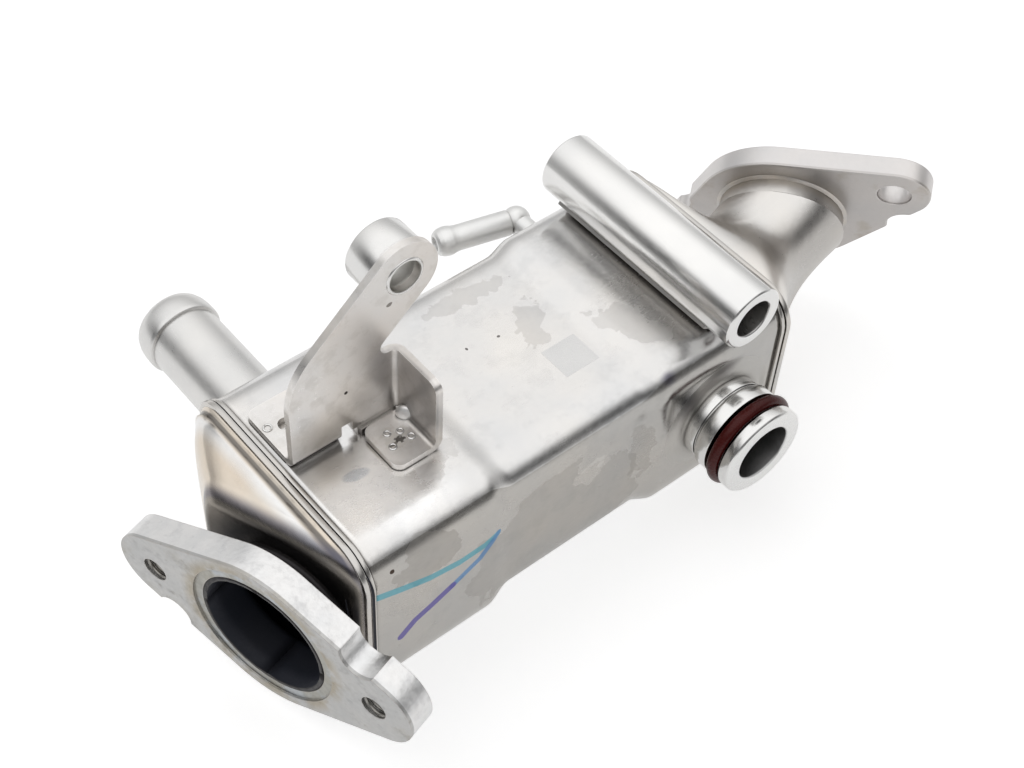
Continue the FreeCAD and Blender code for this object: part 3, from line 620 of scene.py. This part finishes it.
lip_line = Vector((-1.75, 0, 0))
tank_marks = [
    # A pale silver roll beside the lip as a painted highlight, painted shade in the groove before it,
    # and the straw roof behind
    coat(both(depth_band(lip_line, along, 2.2, 3.2), depth_band(lip_line - along * 6.4, -along, 0.0, 3.2)),
         (0.80, 0.80, 0.80), 0.85, 0.02),
    coat(both(depth_band(lip_line, along, 0.5, 1.0), depth_band(lip_line - along * 2.9, -along, 0.0, 1.2)),
         (0.11, 0.105, 0.10), 0.85),
    # Painted dark reflection on the bend with a blue-black heat tint, a lighter tan line below it, and
    # painted shade that makes the front wall black by the neck
    coat(both(depth_band(inlet_face, inlet_normal, 16.6, 14.0), depth_band(across * 22.0, across, 0.0, 9.0)),
         (0.10, 0.10, 0.135), 0.78, 0.03),
    coat(depth_band(inlet_face, inlet_normal, 13.7, 12.9), (0.33, 0.30, 0.25), 0.7, 0.03),
    coat(both(depth_band(inlet_face, inlet_normal, 13.1, 12.4),
              bore_shade(inlet_face, inlet_normal, 22.5, 9.0)), (0.022, 0.021, 0.024), 0.95, 0.15),
    shade(spot(-6.0, 8.0, 25.0, (4.0, 9.0, 3.0), 20, 0.6, 70.0, 0.8), (0.94, 0.92, 0.90), 0.04, 0.7),
]
tank_steel = steel(
    "tank steel", (0.68, 0.625, 0.55), (0.67, 0.58, 0.48), 0.22, tint=0.85, stretch=(1, 0.2, 1), fine=1600.0,
    broad=45.0, relief=0.000008, wave=0.0003, edge_amount=0.1, corner_shade_amount=0.25, reach=0.001, marks=tank_marks)
lined(walled(finished(build_inlet_tank(), "inlet_tank_skin", tank_steel, ["inlet_tank"])))


# Seam lips: where tank, header plate and casing meet, their edges stand out as two thin
# rounded lips with a brazed groove between them, all round each end of the core.
def build_lip(edge, back, reach):
    ease = 0.35
    sections = ((edge, -0.3), (edge, reach - ease), (edge + 0.1, reach - 0.1), (edge + ease, reach),
                (back - ease, reach), (back - 0.1, reach - 0.1), (back, reach - ease), (back, -0.3))
    bm = bmesh.new()
    loops = [rounded_loop(bm, facing(along * x, along), chamber_half_width + grow, chamber_half_height + grow,
                          chamber_corner + grow, 4)
             for x, grow in sections]
    bridged(bm, loops, closed=True)
    return bm


lip_steel = steel(
    "lip steel", (0.60, 0.585, 0.565), (0.54, 0.49, 0.43), 0.22, tint=0.6, edge_amount=0.55, radius=0.0003,
    corner_shade_amount=0.95, reach=0.0013)
for name, edge, back, reach in (
        ("inlet_tank_lip", -1.75, -0.15, 1.0), ("inlet_casing_lip", 0.05, 1.25, 0.75),
        ("outlet_casing_lip", 131.3, 132.5, 0.75), ("outlet_tank_lip", 132.75, 134.35, 1.0)):
    finished(build_lip(edge, back, reach), name, lip_steel)

# Outlet tank: an elbow pressed from sheet that gathers the cooled gas and turns it towards
# the outlet flange. It is welded into the flange with a bead round its neck.
outlet_face = Vector((170.8, 3.5, 9.8))
outlet_climb = Matrix.Rotation(math.radians(16.3), 3, -across)
outlet_normal = Matrix.Rotation(math.radians(37.9), 3, "Z") @ (outlet_climb @ along)
outlet_neck = outlet_face - outlet_normal * 5.0
outlet_neck_radius = 17.5


def bezier(values, share):
    while len(values) > 1:
        values = [first + (second - first) * share for first, second in zip(values, values[1:])]
    return values[0]


def build_outlet_tank():
    # Each key is a middle, a normal, a half width, a half height and a corner radius
    bm = bmesh.new()
    keys = (
        (Vector((132.6, 0, 0)), along, chamber_half_width, chamber_half_height, chamber_corner),
        (Vector((138.4, 0.6, 0.9)), along, 31.5, 27.8, 12.0),
        (Vector((144.6, 0.9, 2.9)), along.lerp(outlet_normal, 0.475), 15.6, 24.3, 13.6),
        (Vector((148.4, -1.6, 2.5)), along.lerp(outlet_normal, 0.95), 16.0, 16.6, 15.5),
        (outlet_neck, outlet_normal, 18.1, 18.1, 17.5))
    steps = 26
    loops = []
    for step in range(steps + 1):
        centre, normal, *sizes = [bezier(row, step / steps) for row in zip(*keys)]
        loops.append(rounded_loop(bm, facing(centre, normal.normalized()), *sizes, 8))
    neck = [(outlet_neck_radius, length) for length in (0.5, 2.5, 6.0, 10.6)]
    bridged(bm, loops + neck_loops(bm, outlet_neck, outlet_normal, neck, 8))
    return bm


elbow_marks = [
    shade(depth_band(outlet_face, outlet_normal, 3.2, 1.2), (0.80, 0.76, 0.70), 0.05, 0.8),
    # Painted shade over the elbow's -Y side
    shade(both(depth_band(across * -5.0, across, 0.0, 8.0), depth_band(along * 138.0, -along, 0.0, 7.0)),
          (0.68, 0.665, 0.65), 0.0, 0.9),
]
elbow_steel = steel(
    "elbow steel", (0.715, 0.70, 0.68), (0.71, 0.665, 0.61), 0.31, tint=0.6, broad=40.0,
    relief=0.000004, wave=0.0005, spread=0.08, edge_amount=0.1, corner_shade_amount=0.7, reach=0.002, marks=elbow_marks)
lined(walled(finished(build_outlet_tank(), "outlet_tank_skin", elbow_steel, ["outlet_tank"])))


# Flanges: the inlet one is a thick cast plate with two threaded holes, the outlet one a
# stamped plate with two clearance holes. Both have eased edges and a matt pale surface.
def eased_copy(name, node, ease, material):
    bm = bmesh.new()
    bm.from_mesh(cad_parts[node].data)
    moved(bm, core_to_frame.inverted())
    bmesh.ops.remove_doubles(bm, verts=bm.verts[:], dist=0.0005)
    bmesh.ops.dissolve_limit(bm, angle_limit=math.radians(0.4), verts=bm.verts[:], edges=bm.edges[:])
    turns = [e for e in bm.edges if len(e.link_faces) == 2 and e.calc_face_angle(0) > math.radians(30.0)]
    bevelled(bm, turns, "EDGES", ease)
    flat = finished(bm, name, material, [node]).modifiers.new("level faces", "WEIGHTED_NORMAL")
    flat.keep_sharp = True


def face_flecks(point, normal, cover, scale, seed):
    # Flux stain that lies in patches over one face of a flange
    return both(flecks(cover, scale, seed), depth_band(point, normal, 1.2, 0.4))


cast_marks = [
    # Painted shade on the face and register, stained face with a tan ring by the bore, pits,
    # and the bright neck end
    shade(depth_band(inlet_face, inlet_normal, 0.95, 0.75), (0.62, 0.62, 0.615)),
    shade(face_flecks(inlet_face, inlet_normal, 0.46, 95.0, 1.3), (0.95, 0.93, 0.89), 0.05),
    shade(both(face_flecks(inlet_face, inlet_normal, 0.60, 150.0, 7.7),
               bore_shade(inlet_face, inlet_normal, 21.6, 3.0)), (0.86, 0.79, 0.67), 0.05),
    shade(face_flecks(inlet_face, inlet_normal, 0.42, 420.0, 4.1), (0.80, 0.78, 0.75), 0.05, 0.8),
    shade(flecks(0.46, 260.0, 2.6), (0.88, 0.88, 0.885), 0.06),
    shade(flecks(0.27, 520.0, 5.2), (0.42, 0.40, 0.38), 0.10, 0.9),
    shade(bore_shade(inlet_face, inlet_normal, 20.6), (0.88, 0.93, 0.98), -0.06),
]
cast_steel = steel(
    "cast flange steel", (0.80, 0.80, 0.80), (0.77, 0.75, 0.73), 0.40, fine=700.0, broad=120.0,
    relief=0.00011, spread=0.2, wave=0.0002, edge_amount=0.5, radius=0.0006, bright=(0.44, 0.41, 0.37), corner_shade_amount=0.8,
    marks=cast_marks)
eased_copy("inlet_flange_plate", "inlet_flange", 0.6, cast_steel)
stamped_marks = [
    # Painted shade on the plate's tank side, and flux stain in patches there
    shade(depth_band(outlet_face, -outlet_normal, 0.9, 0.5), (0.78, 0.77, 0.76)),
    shade(face_flecks(outlet_face, -outlet_normal, 0.45, 110.0, 2.2), (0.90, 0.87, 0.82), 0.05)]
stamped_steel = steel(
    "stamped flange steel", (0.66, 0.645, 0.64), (0.63, 0.59, 0.56), 0.36,
    relief=0.00002, spread=0.14, wave=0.0001, edge_amount=0.35, radius=0.0008, marks=stamped_marks)
eased_copy("outlet_flange_plate", "outlet_flange", 0.8, stamped_steel)


# Threads: rolled ridges in the two M8 holes of the inlet flange, one open helical strip each,
# darker than the flange.
def build_thread(centre, normal, length, pitch):
    bm = bmesh.new()
    turns = length / pitch
    ridge = [bm.verts.new((radius, 0, rise)) for radius, rise in
             ((3.75, -0.62), (3.42, -0.50), (3.02, -0.09), (3.02, 0.09), (3.42, 0.50), (3.75, 0.62))]
    rail = [bm.edges.new(pair) for pair in zip(ridge, ridge[1:])]
    steps = int(turns * 28)
    bmesh.ops.spin(
        bm, geom=ridge + rail, cent=(0, 0, 0), axis=upward, angle=math.tau * turns,
        dvec=(0, 0, length / steps), steps=steps)
    return moved(bm, facing(centre, normal))


thread_steel = steel(
    "thread steel", (0.34, 0.33, 0.31), (0.30, 0.27, 0.23), 0.35, fine=1500.0, edge_amount=0.2, corner_shade_amount=0.85,
    reach=0.0025)
inlet_frame = facing(inlet_face, inlet_normal)
for name, x, y in (("near_thread", 33.0, 0.75), ("far_thread", -33.0, -0.75)):
    thread = build_thread(inlet_frame @ Vector((x, y, -7.2)), inlet_normal, length=6.4, pitch=1.25)
    finished(thread, name, thread_steel, crease=60.0)


# Turned pieces: the mounting sleeve, the bracket's boss and the coolant spigot are bright
# machined steel. The sleeve and boss are brazed on, the spigot sits in a hole of the casing.
def aimed(origin, direction):
    # Local z is the direction
    return Matrix.Translation(origin) @ direction.to_track_quat("Z", "Y").to_matrix().to_4x4()


def revolved(bm, outline, steps):
    # Turns an outline into a whole ring round local z
    bmesh.ops.spin(bm, geom=outline, cent=(0, 0, 0), axis=upward, angle=math.tau, steps=steps, use_merge=True)
    bmesh.ops.remove_doubles(bm, verts=bm.verts[:], dist=1e-5)


def turned(name, profile, origin, direction, material, stands_for=(), ease=0.0, steps=96, crease=38.0):
    # Profile holds (distance along the axis, radius) pairs of a closed outline
    bm = bmesh.new()
    corners = [bm.verts.new((radius, 0, distance)) for distance, radius in profile]
    face = bm.faces.new(corners)
    if ease:
        bevelled(bm, corners, "VERTICES", ease)
        face = max(bm.faces, key=lambda f: len(f.verts))
    outline = list(face.edges) + list(face.verts)
    bmesh.ops.delete(bm, geom=[face], context="FACES_ONLY")
    revolved(bm, outline, steps)
    return finished(moved(bm, aimed(origin, direction)), name, material, stands_for, crease)


# Painted shade that darkens the inside of a bore
def painted_bore_shade(point, direction, radius, colour):
    return shade(bore_shade(point, direction, radius), colour, 0.12)


sleeve_seat = Vector((114.4, -37.2, 37.3))
sleeve_length, sleeve_radius, sleeve_bore_radius = 70.7, 8.9, 5.3
sleeve_profile = (
    (0, 5.7), (0, 8.4), (0.5, sleeve_radius), (sleeve_length - 0.5, sleeve_radius), (sleeve_length, 8.4),
    (sleeve_length, 5.7), (sleeve_length - 0.4, sleeve_bore_radius), (0.4, sleeve_bore_radius))
sleeve_steel = steel(
    "turned steel", (0.80, 0.795, 0.785), (0.76, 0.74, 0.71), 0.20, tint=0.4, stretch=(1, 0.12, 1),
    fine=2200.0, broad=30.0, relief=0.000006, spread=0.14, edge_amount=0.1, radius=0.0003,
    marks=[painted_bore_shade(sleeve_seat, across, sleeve_bore_radius, (0.5, 0.495, 0.49))])
turned("mounting_sleeve_tube", sleeve_profile, sleeve_seat, across, sleeve_steel,
       ["mounting_sleeve"], ease=0.15)
boss_seat = Vector((35.4, 1.7, 72.0))
boss_length, boss_radius, boss_bore_radius = 9.1, 8.5, 4.3
boss_steel = steel(
    "boss steel", (0.75, 0.745, 0.735), (0.71, 0.69, 0.66), 0.24, tint=0.4, fine=1500.0, edge_amount=0.2,
    radius=0.0003, marks=[painted_bore_shade(boss_seat, across, 4.35, (0.85, 0.85, 0.84))])
boss_profile = (
    (0, boss_bore_radius), (0, boss_radius), (boss_length, boss_radius), (boss_length, boss_bore_radius))
turned("boss_body", boss_profile, boss_seat, across, boss_steel, ["bracket_boss"], ease=0.5)
turned("boss_flare", ((0, 4.35), (0, 4.9), (0.35, 5.2), (0.9, 5.2), (0.9, 4.35)), boss_seat - across * 2.35,
       across, boss_steel, ease=0.12)
spigot_seat = spigot_place - across * 1.2
spigot_length = 16.6
spigot_marks = [
    painted_bore_shade(spigot_seat, across, 8.35, (0.50, 0.50, 0.51)),
    coat(depth_band(spigot_seat - across * spigot_length, -across, 0.5, 0.1), (0.80, 0.80, 0.79), 0.6, 0.14)]
spigot_steel = steel(
    "spigot steel", (0.77, 0.765, 0.755), (0.71, 0.69, 0.65), 0.19, tint=0.4, stretch=(1, 9, 1), fine=500.0,
    broad=30.0, relief=0.000004, spread=0.08, edge_amount=0.15, radius=0.0003, corner_shade_amount=0.8, marks=spigot_marks)
spigot_profile = (
    (-1.2, 8.25), (-1.2, 12.0), (0, 12.3), (3.3, 12.3), (3.3, 11.8), (4.0, 11.8), (4.0, 12.4), (4.6, 13.0),
    (8.4, 13.0), (8.4, 10.6), (13.4, 10.6), (13.4, 13.0), (16.0, 13.0), (spigot_length, 12.4),
    (spigot_length, 8.6), (16.3, 8.25))
turned("spigot_body", spigot_profile, spigot_seat, -across, spigot_steel, ["coolant_spigot"],
       ease=0.18)

# Fillets: low rings of braze round the nipple and the vent, and weld beads round the gas
# necks, slightly uneven and darker than the steel beside them.
nipple_radius, vent_stem_radius = 10.1, 3.1
filler_steel = steel(
    "filler", (0.52, 0.50, 0.48), (0.50, 0.45, 0.39), 0.33, tint=0.7, fine=1200.0, broad=300.0,
    relief=0.00003, edge_amount=0.25, corner_shade_amount=0.8)


def fillet(name, seat, direction, radius, width, height):
    profile = (
        (-0.3, radius - 0.3), (-0.3, radius + width), (0.12, radius + width * 0.8),
        (height * 0.35, radius + width * 0.36), (height * 0.75, radius + width * 0.1),
        (height, radius - 0.3))
    turned(name, profile, seat, direction, filler_steel, crease=70.0)


fillet("nipple_braze", nipple_place, across, nipple_radius, 1.5, 1.3)
fillet("vent_braze", vent_place, across, vent_stem_radius, 1.1, 0.9)
fillet("inlet_neck_weld", inlet_face - inlet_normal * 8.0, -inlet_normal, inlet_neck_radius, 1.5, 1.3)
fillet("outlet_neck_weld", outlet_face, -outlet_normal, outlet_neck_radius, 1.1, 0.7)


# Seal ring: a moulded rubber ring, dark maroon with a dull sheen, stretched into the
# spigot's groove between the two collars.
def build_seal():
    cord_radius, ring_radius, groove_middle = 1.7, 12.35, 10.9
    bm = bmesh.new()
    cord = bmesh.ops.create_circle(bm, cap_ends=False, radius=cord_radius, segments=28)["verts"]
    bmesh.ops.rotate(bm, cent=(0, 0, 0), matrix=Matrix.Rotation(math.pi / 2, 3, "X"), verts=cord)
    bmesh.ops.translate(bm, vec=(ring_radius, 0, 0), verts=cord)
    revolved(bm, bm.verts[:] + bm.edges[:], 96)
    place = Matrix.Translation(spigot_seat - across * groove_middle) @ Matrix.Rotation(math.pi / 2, 4, "X")
    return moved(bm, place)


seal_rubber = dull_material(
    "seal rubber", (0.034, 0.003, 0.003), (0.095, 0.010, 0.008), 1400.0, 120.0, (0.20, 0.34), 0.2)
finished(build_seal(), "seal_ring_cord", seal_rubber, ["seal_ring"])

# Coolant hose nipple: a drawn tube with a rolled bead that holds the hose, brazed into the
# +Y side of the inlet chamber. Satin, slightly darker than the sleeve.
nipple_steel = steel(
    "nipple steel", (0.70, 0.695, 0.685), (0.66, 0.64, 0.61), 0.31, tint=0.4, stretch=(1, 0.3, 1),
    fine=1600.0, relief=0.000004, wave=0.0001, edge_amount=0.1, radius=0.0003, corner_shade_amount=0.7,
    marks=[painted_bore_shade(nipple_place, across, 8.85, (0.3, 0.29, 0.28))])
nipple_profile = (
    (-1.2, 8.8), (-1.2, nipple_radius), (38.0, nipple_radius), (38.12, 10.3), (38.2, 10.75), (38.6, 11.02),
    (39.6, 11.1), (41.6, 11.05), (43.6, 10.8), (45.2, 10.25), (46.2, 9.6), (46.6, 9.1), (46.5, 8.85),
    (46.0, 8.8))
turned("hose_nipple", nipple_profile, nipple_place, across, nipple_steel,
       ["coolant_hose_stub"], crease=50.0)

# Vent elbow and barb: a thin tube stem on the +Y side of the outlet chamber, ending in a ball
# that carries a push-on hose barb with a bead at its end.
vent_ball = vent_place + across * 8.0
barb_way = Matrix.Rotation(math.radians(-14.6), 3, "Z") @ -along
vent_steel = steel(
    "vent steel", (0.80, 0.80, 0.79), (0.76, 0.75, 0.73), 0.46, tint=0.4, stretch=(0.2, 1, 1), fine=1500.0,
    broad=90.0, relief=0.000009, spread=0.12, edge_amount=0.1, radius=0.0003, corner_shade_amount=0.7)
barb_profile = (
    (0, 2.0), (0, 3.2), (0.5, 3.6), (15.6, 3.6), (16.6, 3.75), (17.6, 4.05), (18.8, 4.15), (20.2, 3.95),
    (21.3, 3.45), (22.0, 2.75), (22.0, 2.0))
turned("vent_barb_tube", barb_profile, vent_ball + barb_way * 2.2, barb_way, vent_steel,
       ["vent_barb"], ease=0.1, steps=64)


def build_elbow():
    bm = bmesh.new()
    bmesh.ops.create_uvsphere(
        bm, u_segments=48, v_segments=32, radius=4.0, matrix=Matrix.Translation(vent_ball))
    stem = bmesh.ops.create_circle(bm, cap_ends=False, radius=vent_stem_radius, segments=48)["verts"]
    bmesh.ops.transform(bm, matrix=aimed(vent_place - across, across), verts=stem)
    ring = list({e for v in stem for e in v.link_edges})
    grown = bmesh.ops.extrude_edge_only(bm, edges=ring)["geom"]
    bmesh.ops.translate(bm, vec=(0, 7.0, 0), verts=[g for g in grown if isinstance(g, bmesh.types.BMVert)])
    return bm


finished(build_elbow(), "vent_elbow_body", vent_steel, ["vent_elbow"])

# Folded bracket and saddle: 2 mm sheet, stamped and bent, spot welded to the casing's top.
# The saddle is a formed trough that carries the sleeve. Both are a warmer, duller grey.
foot_top = chamber_half_height + 2.0
bracket_marks = [
    # Painted light on the short foot, a darker lower wall, mottling, then two pits and the burnt weld spot
    shade(spot(27.5, -8.5, foot_top, (9.0, 9.0, 0.7), 0, 0.3, 60.0, 0.3), (1.28, 1.29, 1.30), 0.05),
    shade(spot(14.0, -0.3, 30.0, (17.0, 1.5, 16.0), 0, 0.5, 60.0, 0.95), (0.45, 0.435, 0.415)),
    shade(flecks(0.50, 260.0, 9.4), (0.92, 0.915, 0.905), 0.04),
    shade(spot(18.3, -0.3, 44.25, (0.5, 1.0, 0.5), 0, 0.5, 900.0), (0.08, 0.07, 0.07), 0.2),
    shade(spot(31.0, -0.3, 65.6, (0.9, 1.0, 0.6), 0, 1.2, 900.0), (0.25, 0.23, 0.21), 0.2, 0.8),
    shade(spot(27.1, -8.9, foot_top, (1.5, 0.9, 0.5), 40, 2.2, 1300.0, 0.2), (0.16, 0.15, 0.14), 0.15, 0.9),
    shade(spot(25.0, -9.3, foot_top, (1.5, 0.45, 0.5), -10, 1.8, 1300.0, 0.3), (0.30, 0.28, 0.26), 0.1, 0.8),
    shade(spot(27.0, -8.0, foot_top, (3.6, 3.6, 0.6), 0, 2.6, 500.0, 0.3), (0.90, 0.89, 0.87), 0.1, 0.8),
    # Broad painted light and shade over the wall, the arm's root and the side wall
    shade(spot(12.0, -0.3, 36.0, (11.0, 1.5, 9.0), 0, 0.7, 50.0, 0.8), (1.06, 1.04, 1.01)),
    shade(spot(29.0, -0.3, 47.0, (6.0, 1.5, 13.0), 0, 0.5, 45.0, 0.9), (0.76, 0.76, 0.77)),
    shade(spot(32.5, -8.0, 39.0, (1.5, 12.0, 20.0), 0, 0.4, 60.0, 0.6), (0.52, 0.52, 0.53)),
]
bracket_steel = steel(
    "bracket steel", (0.775, 0.755, 0.735), (0.72, 0.675, 0.63), 0.33, tint=0.9, fine=1000.0, broad=55.0,
    relief=0.000007, spread=0.12, smudge=0.2, wave=0.0003, reach=0.001, marks=bracket_marks)
saddle_steel = steel(
    "saddle steel", (0.50, 0.49, 0.475), (0.48, 0.45, 0.42), 0.34, fine=1200.0, relief=0.000006,
    edge_amount=0.2, radius=0.0004, corner_shade_amount=0.9, reach=0.002)
eased_copy("bracket_fold", "mounting_bracket", 0.3, bracket_steel)
eased_copy("saddle_trough", "sleeve_saddle", 0.2, saddle_steel)

# Foot details: raised weld rings on both feet, the sheet that goes on under the wall, and the
# rolled end of the bend between the short foot and the side wall
for k, (x, y, radius) in enumerate(((25.6, -5.8, 0.75), (28.5, -7.0, 0.75), (29.7, -9.8, 0.8),
                                    (24.3, -9.8, 0.8), (4.4, 12.7, 1.0))):
    ring = ((-0.1, radius - 0.32), (0.22, radius - 0.2), (0.32, radius), (0.22, radius + 0.2),
            (-0.1, radius + 0.32))
    turned("foot_pip_%d" % (k + 1), ring, Vector((x, y, foot_top)), upward, sleeve_steel,
           steps=32)


def build_web():
    bm = bmesh.new()
    for centre, sizes in (((26.65, 0.65, 28.5), (11.3, 1.86, 3.0)), ((27.0, -0.62, 28.1), (10.8, 0.9, 1.9))):
        verts = bmesh.ops.create_cube(bm, size=1.0)["verts"]
        bmesh.ops.transform(bm, matrix=Matrix.Translation(centre) @ Matrix.Diagonal((*sizes, 1)), verts=verts)
    return bm


def build_curl():
    bm = bmesh.new()
    bmesh.ops.create_uvsphere(bm, u_segments=40, v_segments=24, radius=1.0)
    turn = Matrix.Rotation(math.radians(-50), 4, "Z")
    place = Matrix.Translation((32.5, -4.0, 30.0)) @ turn @ Matrix.Diagonal((2.6, 1.5, 2.8, 1))
    return moved(bm, place)


finished(build_web(), "foot_web", bracket_steel)
curl_steel = steel(
    "curl steel", (0.84, 0.835, 0.83), (0.78, 0.76, 0.73), 0.42, tint=0.4, fine=1500.0, broad=90.0, edge_amount=0.0,
    corner_shade_amount=0.4, reach=0.001)
finished(build_curl(), "foot_curl", curl_steel)


# Foot seams: a thin dark line on the casing's top along the outline of each of the bracket's
# two feet, painted shade in the gap with flux in it.
def build_seam(x, y, half_x, half_y):
    middle = Vector((x, y, chamber_half_height))
    corner = 2.5
    section = ((-0.2, -0.2), (-0.2, 0.3), (0.05, 0.24), (0.14, 0.1), (0.22, -0.05), (0.22, -0.2))
    bm = bmesh.new()
    loops = [rounded_loop(bm, Matrix.Translation(middle + upward * rise), half_x + grow, half_y + grow,
                          corner + grow, 3)
             for grow, rise in section]
    bridged(bm, loops, closed=True)
    return bm


seam_shade_and_flux = steel(
    "seam shade and flux", (0.24, 0.23, 0.22), (0.19, 0.17, 0.15), 0.45, fine=1500.0, relief=0.00002, edge_amount=0.1)
finished(build_seam(9.65, 10.4, 6.95, 9.4), "long_foot_seam", seam_shade_and_flux)
finished(build_seam(26.6, -8.75, 5.3, 6.85), "short_foot_seam", seam_shade_and_flux)


# Studio: a pale floor, one large soft lamp above and behind to the left, and a pale surround
# that is bright overhead and greyer towards the horizon.
def make_floor():
    bm = bmesh.new()
    bmesh.ops.create_circle(bm, cap_ends=True, radius=4.0, segments=64)
    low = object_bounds()[0].z - 0.0002
    bmesh.ops.translate(bm, vec=(0.1, 0, low), verts=bm.verts[:])
    floor = as_object(bm, "floor")
    material, tree, shader = new_material("pale floor")
    rays = wired(tree, "ShaderNodeLightPath").outputs
    seen = calc(tree, "MAXIMUM", rays["Is Camera Ray"], rays["Is Transmission Ray"])
    gloss = calc(tree, "MULTIPLY", rays["Is Glossy Ray"], 0.48)
    glow = calc(tree, "MULTIPLY_ADD", seen, 0.60, gloss)
    feed(tree, shader, {"Base Color": (0.78, 0.78, 0.78, 1), "Roughness": 0.9, "Specular IOR Level": 0.0,
                        "Emission Color": (1, 1, 1, 1), "Emission Strength": glow})
    floor.data.materials.append(material)


def ramp(tree, value, stops):
    node = wired(tree, "ShaderNodeValToRGB", {"Fac": value})
    while len(node.color_ramp.elements) < len(stops):
        node.color_ramp.elements.new(0.5)
    for element, (position, level) in zip(node.color_ramp.elements, stops):
        element.position = position
        element.color = (level, level, level, 1)
    return node.outputs["Color"]


def make_surround():
    world = bpy.data.worlds.new("studio")
    world.use_nodes = True
    bpy.context.scene.world = world
    tree = world.node_tree
    rays = wired(tree, "ShaderNodeLightPath").outputs
    heading = wired(tree, "ShaderNodeTexCoord").outputs["Generated"]
    height = wired(tree, "ShaderNodeSeparateXYZ", {0: heading}).outputs["Z"]
    open_side = ramp(
        tree, height, ((0.0, 0.50), (0.17, 0.53), (0.34, 0.60), (0.5, 0.72), (0.64, 0.86), (0.8, 1.0)))
    shaded_side = ramp(
        tree, height,
        ((0.0, 0.40), (0.10, 0.26), (0.22, 0.11), (0.38, 0.12), (0.52, 0.42), (0.64, 0.85), (0.74, 1.0)))
    towards_open = (0.58, 0.81, 0.0)
    openness = remapped(tree, vector_calc(tree, "DOT_PRODUCT", heading, towards_open), -0.1, 0.4)
    gradient = mixed(tree, openness, shaded_side, open_side)
    lifted = mixed(tree, 1.0, gradient, (1.25, 1.25, 1.25, 1), "MULTIPLY")
    soft = mixed(tree, rays["Is Glossy Ray"], (0.5, 0.5, 0.5, 1), lifted)
    seen = calc(tree, "MAXIMUM", rays["Is Camera Ray"], rays["Is Transmission Ray"])
    final = mixed(tree, seen, soft, (1, 1, 1, 1))
    tree.links.new(final, tree.nodes["Background"].inputs["Color"])


def make_key_lamp():
    towards = Vector((-0.27, 0.46, 0.85))
    aim, distance = Vector((0.1, 0.02, 0.02)), 1.5
    lamp = bpy.data.lights.new("soft key", "AREA")
    lamp.shape = "SQUARE"
    lamp.size = 1.6
    lamp.energy = 6.0
    holder = linked("soft key", lamp)
    holder.location = aim + towards.normalized() * distance
    holder.rotation_mode = "QUATERNION"
    holder.rotation_quaternion = (-towards).to_track_quat("-Z", "Y")
    holder.visible_glossy = False


make_floor()
make_surround()
make_key_lamp()

# Camera: at the photo's angle, for a picture of 1024 by 768
camera = bpy.data.cameras.new("camera")
camera.sensor_width = 36.0
camera.lens = 62.148
camera.clip_start = 0.01
camera.clip_end = 50.0
camera_right = Vector((0.771817, -0.634621, 0.039441))
camera_down = Vector((-0.464389, -0.604982, -0.646792))
camera_view = Vector((0.434329, 0.480889, -0.761646))
camera_place = Vector((-0.106713, -0.200124, 0.355246))
camera_turn = Matrix((camera_right, -camera_down, -camera_view)).transposed().to_4x4()
camera_holder = linked("camera", camera)
camera_holder.matrix_world = Matrix.Translation(camera_place) @ camera_turn
bpy.context.scene.camera = camera_holder
bpy.context.scene.view_settings.view_transform = "Standard"
